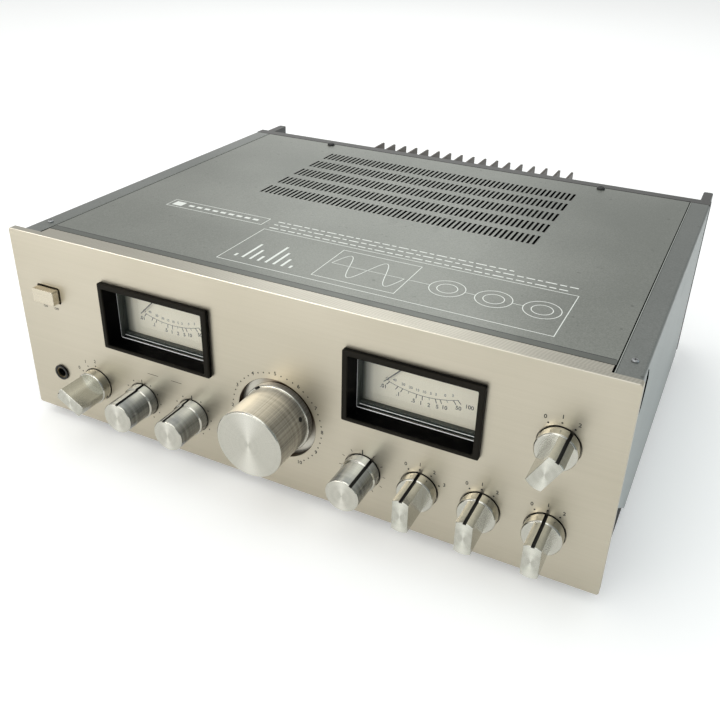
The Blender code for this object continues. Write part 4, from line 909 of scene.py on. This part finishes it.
def bar_knob(node):
    """Bar with a pointer groove, on a round skirt with a set screw hole shown as a black rod of painted
    shade.
    """
    centre = middle(node)
    low, high = extent(node)
    profile = small_profile(
        high[1], [(SKIRT, -6.8), (11.5, SKIRT_FACE), (CORE, SKIRT_FACE)], 0.12,
    )
    bar = block(lambda grow: bar_outline(centre, grow), low[1], -7.2, 0.45).wholly(2)
    count = len(bar_outline(centre, 0.0))
    for index in range(len(bar.faces) - 2):
        if index % count < 3:
            bar.slots[index] = 1
    # Bar metal with a ray of painted highlight straight up and down
    turned_metal(node + "_bar", centre, 0.15, (168, 167, 157), (212, 211, 201), metallic=0.75)
    # Black rod as painted shade where the set screw hole is
    hole = radial_plug(centre, 180, -3.4, 1.1, 11, 12.14, 16)
    small_knob(node, node + "_milled", [grooved(profile, centre), bar, hole], node + "_bar")


def volume_knob():
    """Large turned knob with a flange, a set screw hole shown as a black rod of painted shade, and an index
    mark.
    """
    centre = middle("volume_knob")
    low, high = extent("volume_knob")
    flange, side = 24.4, 23.3
    profile = round_off([
        (CORE, high[1]), (SHAFT, high[1]), (SHAFT, 4.1), (flange, 4.1), (flange, -0.5),
        (23.9, -1), (side, -1), (side, low[1] + 0.7), (22.6, low[1]), (CORE, low[1]),
    ], 0.15)
    body = turned(profile, centre, VOLUME_STEPS)
    finish_sides(body, profile, 23)
    # The set screw hole is a black rod of painted shade
    hole = radial_plug(centre, 66, -5.7, 1.7, 22, 23.33)
    mark = radial_plug(centre, -33, -1.2, 1.5, 22, 24.45)
    # Face: a ray of painted highlight straight up and down; sides: painted highlight towards the upper left
    # and lower right, painted shade between
    turned_metal("volume_knob_metal", centre, 0.2, grooves=0.03)
    turned_metal("volume_side", centre, 0.24, (66, 61, 50), (255, 247, 230), -22, 1.9, 0.03, 0.45, 0.55)
    finishes = ["volume_knob_metal", "black_inlay_and_shade", "volume_side"]
    piece("volume_knob_turned", [body, hole, mark], finishes, "volume_knob", "volume_knob")


def power_button():
    """Rectangular button with soft edges on a square stem."""
    low, high = extent("power_button")
    cap = block(rectangle(low, high, 1.2), low[1], 12, 0.5)
    x, height = middle("power_button")
    half = 2.5
    stem = slab((x - half, 11.8, height - half), (x + half, high[1], height + half))
    piece("power_button_cap", [cap, stem], ["button_metal"], "power_button", "power_button")


def headphone_jack():
    """Black ring with a plated sleeve and a deep dark bore."""
    centre = middle("headphone_jack")
    rear = extent("headphone_jack")[1][1]
    ring = hoop(4.2, 6, -1.4, -0.3, 0.4, centre, 64)
    sleeve = hoop(3.7, 4.15, -0.9, 7, 0.15, centre, 64).wholly(1)
    well = turned([
        (CORE, 33.5), (3.25, 33.5), (3.25, 0.2), (3.65, 0.2),
        (3.65, 7.05), (8, 7.05), (8, rear), (CORE, rear),
    ], centre, 32)
    finishes = ["socket_plastic", "worn_brass"]
    piece("headphone_socket", [ring, sleeve, well], finishes, "headphone_jack")


# Sheet metal

BEND = 1.8
# Outline of a patch of painted shade on the right side cover, a thin dark skin on its wall, as depth and
# height
SHADE_PATCH = ((28, 108), (28, 118), (28, 128), (30, 136), (35, 133), (41, 125), (39, 117), (34, 109))


def bent_section(side, wall_end):
    """Section of a side cover: rail on top, a small bend, and the wall down to its end."""
    low, high = extent("side_cover_" + side)
    sign = -1 if side == "left" else 1
    inner, outer = sorted((abs(low[0]), abs(high[0])))
    turns = [(math.sin(angle), math.cos(angle)) for angle in (math.pi / 12 * step for step in range(7))]
    bends = [
        [(outer - BEND + radius * u, COVER_TOP - BEND + radius * v) for u, v in turns]
        for radius in (BEND, BEND - SHEET)
    ]
    straight = COVER_TOP - BEND * 1.3
    wall = [(outer, straight), (outer, wall_end), (outer - SHEET, wall_end), (outer - SHEET, straight)]
    section = [(inner, COVER_TOP)] + bends[0] + wall + bends[1][::-1] + [(inner, COVER_TOP - SHEET)]
    return [(sign * x, height) for x, height in section]


def side_cover(side):
    """Bent sheet with its front lower corner cut off and its wall a little short at the rear."""
    low, high = extent("side_cover_" + side)
    cut, rise, short = 76, 57, 4
    rail_end = COVER_TOP - 2.4
    stations = (
        (low[1], low[2] + rise), (low[1] + cut, low[2]), (low[1] + cut + 1, low[2]),
        (high[1] - short, low[2]), (high[1] - short, rail_end), (high[1], rail_end),
    )
    shell = loft([across(bent_section(side, end), depth) for depth, end in stations])
    count = len(bent_section(side, 0.0))
    # The outer wall faces take the lighter copy of the paint, as painted light
    for index in range(len(shell.faces) - 2):
        if index % count in (7, 8):
            shell.slots[index] = 2
    shells = [shell]
    if side == "right":
        # The right wall gets a thin dark skin of painted shade
        skin = 0.04
        shade_patch = loft([[(high[0] + reach, *place) for place in SHADE_PATCH] for reach in (-skin, skin)])
        shells.append(shade_patch.wholly(1))
    finishes = ["rail_paint", "painted_shade_black", "lit_wall_paint"]
    piece("cover_sheet_" + side, shells, finishes, "side_cover_" + side, angle=25)


def screw(node, finish):
    """Pan head screw whose cross recess is a flat black cross of painted shade."""
    x, depth, radius = footprint(node)
    bottom, top = (corner[2] for corner in extent(node))
    profile = round_off([
        (CORE, bottom), (1.5, bottom), (1.5, COVER_TOP), (radius, COVER_TOP),
        (radius, top - (top - COVER_TOP) * 0.5), (radius * 0.7, top), (CORE, top),
    ], 0.3)
    arm, half, lift = radius * 0.55, radius * 0.14, 0.02
    # The cross recess is a flat black cross of painted shade
    cross = [
        slab((x - arm, depth - half, top - lift), (x + arm, depth + half, top + lift)).wholly(1),
        slab((x - half, depth - arm, top - lift * 0.9), (x + half, depth + arm, top + lift * 1.1)).wholly(1),
    ]
    head = turned(profile, (x, depth), 32, upright=True)
    piece(node + "_cross", [head] + cross, [finish, "black_inlay_and_shade"], node)


def foot(node):
    """Round rubber foot with soft edges."""
    x, depth, radius = footprint(node)
    bottom, top = (corner[2] for corner in extent(node))
    profile = round_off([
        (CORE, bottom), (radius * 0.89, bottom), (radius * 0.94, bottom + 1.2),
        (radius, top - 1.2), (radius, top), (CORE, top),
    ], 0.8)
    shell = turned(profile, (x, depth), 64, upright=True)
    piece(node + "_soft", [shell], ["foot_rubber"], node, angle=40)


def seams():
    """Black strips of painted shade in the gaps round the top cover, painted shadow lines at its fold and
    along the rails, and painted highlights beside the rails.
    """
    low, high = extent("top_cover")
    near, far = extent("front_strip")
    rail = extent("side_cover_right")[0][0]
    top, bottom = COVER_TOP + INK, low[2]
    lap, gap = 0.1, 0.7
    strips = [slab((-rail, high[1], bottom), (rail, high[1] + 0.9, top))]
    lines = [slab((low[0] + gap, COVER_FOLD, COVER_TOP), (high[0] - gap, COVER_FOLD + 0.6, top))]
    edges = []
    for side in (-1, 1):
        for inner, start, end in ((far[0] - gap, near[1], far[1]), (high[0] - lap, low[1], high[1])):
            left, right = sorted((side * inner, side * (rail + lap)))
            strips.append(slab((left, start, bottom), (right, end, top)))
        # Beside each rail: a pale line of painted highlight, then a dark line of painted shadow
        steps = [side * (rail + reach) for reach in (0.1, 0.65, 1.0)]
        for shells, pair in ((edges, steps[:2]), (lines, steps[1:])):
            shells.append(slab((min(pair), near[1], COVER_TOP), (max(pair), high[1], top)))
    piece("cover_seams", strips, ["painted_shade_black"])
    piece("cover_fold", lines, ["fold_shadow"])
    piece("rail_edges", edges, ["rail_edge_highlight"])


# Meters

ARC_RADIUS = 67
ARC_HEIGHT = 89.3 + ARC_RADIUS
WINDOW_INSET = 2.1
TICK_AIM = 118
# Places along the scale, to the right of the dial's middle
LONG_TICKS = (-21.6, -16, -12.8, -3.6, 0.1, 8.4, 11.4, 19.6, 22.4)
SHORT_TICKS = (-8.6, 4.4, 15.4)
LARGE_FIGURES = {
    ".01": -23.6, ".1": -14.6, ".5": -5.2, "1": -0.6, "2": 4.2, "5": 9.2, "10": 13.4, "50": 21.4, "100": 27.6,
}
SMALL_FIGURES = {
    "40": -19.2, "30": -13.2, "20": -8, "15": -3.4, "10": 1.2, "5": 5.6, "3": 9, "0": 15, "3 ": 20,
}


def on_arc(x, offset, rise=0.0):
    """Place on the scale's arc, some way to the right of the dial's middle and some way above the line."""
    angle = math.asin(offset / ARC_RADIUS)
    reach = ARC_RADIUS - rise
    return Vector((x + reach * math.sin(angle), ARC_HEIGHT - reach * math.cos(angle)))


def meter(side):
    """Bezel, glass with glowing strips of painted highlight along its edges, and dark walls between the glass
    and the dial.
    """
    refined("bezel_" + side, "bezel_plastic", 0.3, 3)
    low, high = extent("glass_" + side)
    pane = block(rectangle(low, high, 0.6), low[1], high[1], 0.25)
    piece("pane_" + side, [pane], ["clear_pane"], "glass_" + side)
    left, right = low[0] + WINDOW_INSET, high[0] - WINDOW_INSET
    bottom, top = low[2] + WINDOW_INSET, high[2] - WINDOW_INSET
    line, thin, skin = 0.45, 0.2, 0.1
    # Thin strips of painted highlight along the glass edges
    front, rear = low[1] - 0.05, high[1]
    edges = [
        slab((left, front, bottom), (right, low[1] + skin, bottom + line)),
        slab((right - line, front, bottom), (right, low[1] + skin, top)),
        slab((left, rear, bottom + line), (right, rear + skin, bottom + 1.8 * line)),
        slab((left, front, bottom + line), (left + thin, low[1] + skin, top)),
    ]
    piece("pane_edges_" + side, edges, ["painted_glass_highlight"])
    pane_side = slab((left + thin, front, bottom), (left + line, rear, top))
    piece("pane_side_" + side, [pane_side], ["smoked_plastic"])
    dial_card("dial_card_" + side, left + 1)
    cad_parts["dial_" + side].data.materials[0] = MATERIALS["dial_card_" + side]
    face = extent("dial_" + side)[0][1]
    start, end = rear + thin, face - 0.05
    walls = [
        slab((left, start, bottom - 1), (high[0], end, bottom + 2.6)),
        slab((low[0], start, bottom - 1), (left + 0.6, end, top)),
    ]
    piece("dial_walls_" + side, walls, ["smoked_plastic"])
    dial_print(side, middle("dial_" + side)[0], face)


def dial_print(side, x, face):
    """Scale line, ticks and plain figures on a dial."""
    def line(places, width):
        return ribbon(places, width, face, face - INK)

    shells = [line([on_arc(x, -22.6 + 45.2 * step / 40) for step in range(41)], 0.32)]
    pivot = Vector((x, TICK_AIM))
    for offsets, length, width in ((LONG_TICKS, 3.0, 0.55), (SHORT_TICKS, 1.7, 0.3)):
        for offset in offsets:
            start = on_arc(x, offset)
            shells.append(line([start, start + (start - pivot).normalized() * length], width))
    ring = [on_arc(x, -23.6, 1.2) + Vector(place) for place in around(0.9, 16)]
    shells.append(line(ring + ring[:1], 0.3))
    piece("scale_lines_" + side, shells, ["black_ink"])
    for name, figures, rise, size, finish in (
        ("scale_figures_", LARGE_FIGURES, -5.3, 3.7, "black_ink"),
        ("small_figures_", SMALL_FIGURES, 3.1, 2.5, "grey_ink"),
    ):
        meshes = [
            lettering(text.strip(), *on_arc(x, offset, rise), size, face - INK / 2)
            for text, offset in figures.items()
        ]
        printed(name + side, meshes, finish)


# Print


def panel_marks():
    """Dots, ticks and plain figures round the controls, and two short lines between the tone knobs."""
    meshes = []
    for node, (start, count) in STOPS.items():
        centre = middle(node)
        meshes.append(marks(count, centre, 14.8, start, STOP_ANGLE, 1.15))
        meshes += arc_figures(count, centre, 18.6, start, 3.5)
    for node, radius, size in (
        ("bass_knob", 15, (1.05,)), ("treble_knob", 15, (1.05,)),
        ("balance_knob", 15.2, (0.4, 1.8)),
    ):
        centre = middle(node)
        meshes.append(marks(1, centre, radius - 0.8, 0, 0, 0.7, 3.4))
        for start in (-150, 30):
            meshes.append(marks(5, centre, radius, start, 30, *size))
    centre = middle("volume_knob")
    meshes.append(marks(39, centre, 33.2, -142.5, 7.5, 1.05, gap=4))
    meshes += arc_figures(11, centre, 33.6, -150, 3.7)
    x, height = middle("power_button")
    for text, side in (("ON", -1), ("OFF", 1)):
        meshes.append(lettering(text, x + side * 5.2, height - 10.6, 2.4))
    printed("panel_print", meshes, "black_ink")
    bottom, top = 56.6, 56.95
    lines = [slab((left, -INK, bottom), (right, INK, top)) for left, right in ((-104, -95), (-84, -75))]
    piece("tone_lines", lines, ["black_ink"])


def cover_bars():
    """Bars of the top cover's diagram, as left, right, front and rear."""
    line = 0.55
    bars = outline_bars(-158, -72, 100, 113.5, line) + [(-154.5, -146, 103, 110.5)]
    bars += [(-141 + 7.2 * index, -136.4 + 7.2 * index, 105.4, 108.2) for index in range(9)]
    for row, (depth, end) in enumerate(((111, 117), (105, 160), (98.5, 154))):
        left, index = -64.0, row
        while left < end - 4:
            length = (5.5, 3.2, 7.4, 4.3)[index % 4]
            bars.append((left, min(left + length, end), depth - 0.6, depth + 0.6))
            left += length + 1.9
            index += 1
    bars += outline_bars(-66, 161, 35.5, 94.5, line) + outline_bars(2, 60, 42, 88, line)
    bars += [(-58 + 6 * index, -56.2 + 6 * index, 44, 48 + (index * 5 % 7) * 4.2) for index in range(8)]
    joining = (5, 57), (60, 74.5), (97.5, 104.5), (127.5, 134.5)
    return bars + [(left, right, 64.8, 65.2) for left, right in joining]


def cover_print():
    """Generic pale diagram: an outlined label, rows of dashes, and a frame of simple signs."""
    top = COVER_TOP
    shells = [slab((left, front, top), (right, rear, top + INK)) for left, right, front, rear in cover_bars()]
    curves = [[(5 + 52 * step / 60, 65 + 16 * math.sin(step / 60 * 4 * math.pi)) for step in range(61)]]
    for centre in (86, 116, 146):
        for radius in (11.5, 6.5):
            ring = [(centre + x, 65 + y) for x, y in around(radius, 48)]
            curves.append(ring + ring[:1])
    shells += [ribbon(curve, 0.55, top, top + INK, flat=True) for curve in curves]
    piece("cover_print", shells, ["pale_ink"])


# Rear connections

SOCKET_COLUMNS = 6
SOCKET_INSET = 8
SOCKET_PITCH = 14.5
TERMINAL_MARGIN = 11


def rear_connections():
    """Plated input sockets with coloured rings."""
    low, high = extent("input_sockets")
    face, end = low[1] + 1.6, high[1]
    shells = [slab(low, (high[0], face, high[2]))]
    first = low[0] + SOCKET_INSET, low[2] + SOCKET_INSET
    for column in range(SOCKET_COLUMNS):
        for row in range(2):
            centre = first[0] + column * SOCKET_PITCH, first[1] + row * SOCKET_PITCH
            ring = hoop(4.6, 6.2, face, face + 1.2, 0.3, centre, 40)
            barrel = round_off([
                (1.7, face + 2.5), (1.7, end), (4.2, end), (4.2, face - 0.5),
                (1.7, face - 0.5),
            ], 0.3, loop=True)
            shells += [ring.wholly(2 + row), turned(barrel, centre, 40, loop=True).wholly(1)]
    finishes = ["socket_plastic", "nickel", "red_plastic", "white_plastic"]
    piece("input_sockets_plated", shells, finishes, "input_sockets")


def terminal_cap(x, height, base, end):
    """Screw cap with grooves for the fingers."""
    profile = round_off([
        (3, base - 0.5), (3, base + 1.5), (5.5, base + 1.5),
        (5.5, end - 0.3), (5, end), (CORE, end),
    ], 0.25)
    rings = []
    for radius, depth in profile:
        ring = []
        for step, (u, v) in enumerate(around(1, 72)):
            size = radius - (0.35 if step % 6 in (0, 1) and radius > 5.2 else 0)
            ring.append((x + size * u, depth, height + size * v))
        rings.append(ring)
    return loft(rings)


def speaker_terminals():
    """Black block with screw caps, red above and black below."""
    low, high = extent("speaker_terminals")
    face = low[1] + 6
    shells = [block(rectangle(low, high, 1.5), low[1], face, 0.6)]
    wide, tall = (high[axis] - low[axis] - 2 * TERMINAL_MARGIN for axis in (0, 2))
    for column in range(4):
        for row in range(2):
            x = low[0] + TERMINAL_MARGIN + column * wide / 3
            height = low[2] + TERMINAL_MARGIN + row * tall
            shells.append(terminal_cap(x, height, face, high[1]).wholly(row))
    finishes = ["socket_plastic", "red_plastic"]
    piece("speaker_terminals_capped", shells, finishes, "speaker_terminals")


def rear_print():
    """Pale outlines round the sockets and terminals, and a plain figure over each pair of sockets."""
    margin, room = 4, 9
    depth = extent("input_sockets")[0][1]
    shells = []
    for node in ("input_sockets", "speaker_terminals"):
        low, high = extent(node)
        bars = outline_bars(low[0] - margin, high[0] + margin, low[2] - margin, high[2] + room, 0.6)
        for left, right, bottom, top in bars:
            shells.append(slab((left, depth, bottom), (right, depth + INK, top)))
    piece("rear_outlines", shells, ["pale_ink"])
    low, high = extent("input_sockets")
    figures = []
    for column in range(SOCKET_COLUMNS):
        x = low[0] + SOCKET_INSET + column * SOCKET_PITCH
        text = str(SOCKET_COLUMNS - column)
        figures.append(lettering(text, x, high[2] + margin, 4, depth + INK / 2, behind=True))
    printed("rear_figures", figures, "pale_ink")


# Floor, light and camera

LAMPS = (
    ("key", (-0.9, 1.9, 1.5), 0.05, 1.0, 5.5, (0.99, 1.0, 0.98)),
    ("left", (-1.6, -1.9, 0.35), 0.05, 1.1, 10, (1.0, 0.95, 0.88)),
    ("front", (-0.95, -1.9, 0.25), 0.05, 0.7, 9, (1.0, 0.98, 0.94)),
    ("brow", (0.1, -1.9, 1.6), 0.05, 1.3, 7.5, (0.98, 1.0, 0.98)),
    ("side", (2.2, 0.3, 0.8), 0.05, 1.0, 5, (0.66, 0.92, 1.0)),
    ("top", (-0.35, -0.3, 2.3), 0, 2.2, 15, (0.99, 1.0, 0.98)),
)
CAMERA_PLACE = (0.24070, -0.53614, 0.36517)
CAMERA_AXES = (
    (0.893897, 0.447727, 0.022113), (-0.230231, 0.416216, 0.879635), (0.384632, -0.791394, 0.475135),
)


def floor():
    """Wide pale floor that adds a little light of its own to what the camera sees of it."""
    mesh = bpy.data.meshes.new("floor")
    mesh.from_pydata([(-8, -8, 0), (8, -8, 0), (8, 8, 0), (-8, 8, 0)], [], [(0, 1, 2, 3)])
    constants = {"Base Color": (0.9, 0.9, 0.9, 1), "Roughness": 0.9, "Emission Strength": 1.0}
    surface = Finish("floor_white", constants)
    rays = ("Camera", "Glossy", "Transmission")
    camera, mirrored, passed = (surface.node("ShaderNodeLightPath", output=f"Is {ray} Ray") for ray in rays)
    seen = camera + mirrored + passed
    surface.set({"Emission Color": surface.blend(seen, (0, 0, 0, 1), (0.26, 0.26, 0.26, 1))})
    mesh.materials.append(MATERIALS["floor_white"])
    linked("floor", mesh)


def lamps():
    """Soft square lamps, each aimed at a height above the middle of the floor."""
    for name, place, aim, size, power, tint in LAMPS:
        lamp = bpy.data.lights.new(name, "AREA")
        lamp.color = tint
        lamp.shape = "SQUARE"
        lamp.size = size
        lamp.energy = power
        item = linked(name, lamp)
        item.location = place
        item.rotation_euler = (Vector((0, 0, aim)) - Vector(place)).to_track_quat("-Z", "Y").to_euler()


def surroundings():
    """Sky that is paler on the left and above, and the plain view transform."""
    world = bpy.data.worlds.new("studio")
    world.use_nodes = True
    sky = Graph(world.node_tree)
    ray = sky.node("ShaderNodeTexCoord", output="Generated")
    side = sky.vectors("DOT_PRODUCT", ray, (-0.8, 0.35, 0.5), "Value")
    tint = sky.blend(side * 0.5 + 0.5, (0.25, 0.29, 0.31, 1), (0.76, 0.76, 0.74, 1))
    sky.feed(world.node_tree.nodes["Background"].inputs["Color"], tint)
    bpy.context.scene.world = world
    bpy.context.scene.view_settings.view_transform = "Standard"


def photo_camera():
    """Camera where the photograph's camera stood; its axes are right, up and back."""
    camera = bpy.data.cameras.new("camera")
    camera.lens = 41.38
    camera.sensor_width = 36
    camera.shift_y = -0.0393
    item = linked("camera", camera)
    turn = Matrix([Vector(axis) for axis in CAMERA_AXES]).transposed().to_4x4()
    item.matrix_world = Matrix.Translation(CAMERA_PLACE) @ turn
    bpy.context.scene.camera = item


# The whole object

KEPT = {
    "cover_paint": ("top_cover",),
    "black_paint": ("rear_cross_bar", "bottom_plate"),
    "shaded_frame_paint": ("side_frame_left", "side_frame_right"),
    "socket_plastic": ("meter_case_left", "meter_case_right", "power_switch"),
    "needle_paint": ("needle_left", "needle_right"),
    "board": ("main_board",),
    "folded_alloy": ("power_supply",),
    "zinc_steel": (
        "front_sub_frame", "speaker_switch", "filter_switch", "tape_copy_switch", "monitor_switch",
        "function_switch", "bass_control", "treble_control", "volume_control", "balance_control",
    ),
}


def chassis():
    """Everything that neither moves nor is in the front panel."""
    for finish, nodes in KEPT.items():
        for node in nodes:
            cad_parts[node].data.materials[0] = MATERIALS[finish]
    refined("front_strip", "strip_metal", 0.3)
    for side in ("left", "right"):
        side_cover(side)
        screw("cover_screw_" + side, "black_paint")
        screw("rail_screw_" + side, "zinc_steel")
        foot("foot_front_" + side)
        foot("foot_rear_" + side)
        refined("rear_guard_" + side, "rear_paint", 0.4)
    seams()
    refined("rear_panel", "rear_paint", 0.25)
    refined("heat_sink", "dark_anodised", 0.25)
    refined("mains_gland", "socket_plastic", 0.3)
    refined("ground_post", "nickel", 0.3)
    rear_connections()
    speaker_terminals()
    rear_print()
    cover_print()


def front():
    """Panel with its meters, knobs, button, socket and print."""
    front_panel()
    for side in ("left", "right"):
        meter(side)
    for node in ROUND_KNOBS:
        round_knob(node)
    for node in STOPS:
        bar_knob(node)
    volume_knob()
    power_button()
    headphone_jack()
    panel_marks()


floor()
lamps()
surroundings()
photo_camera()
chassis()
front()
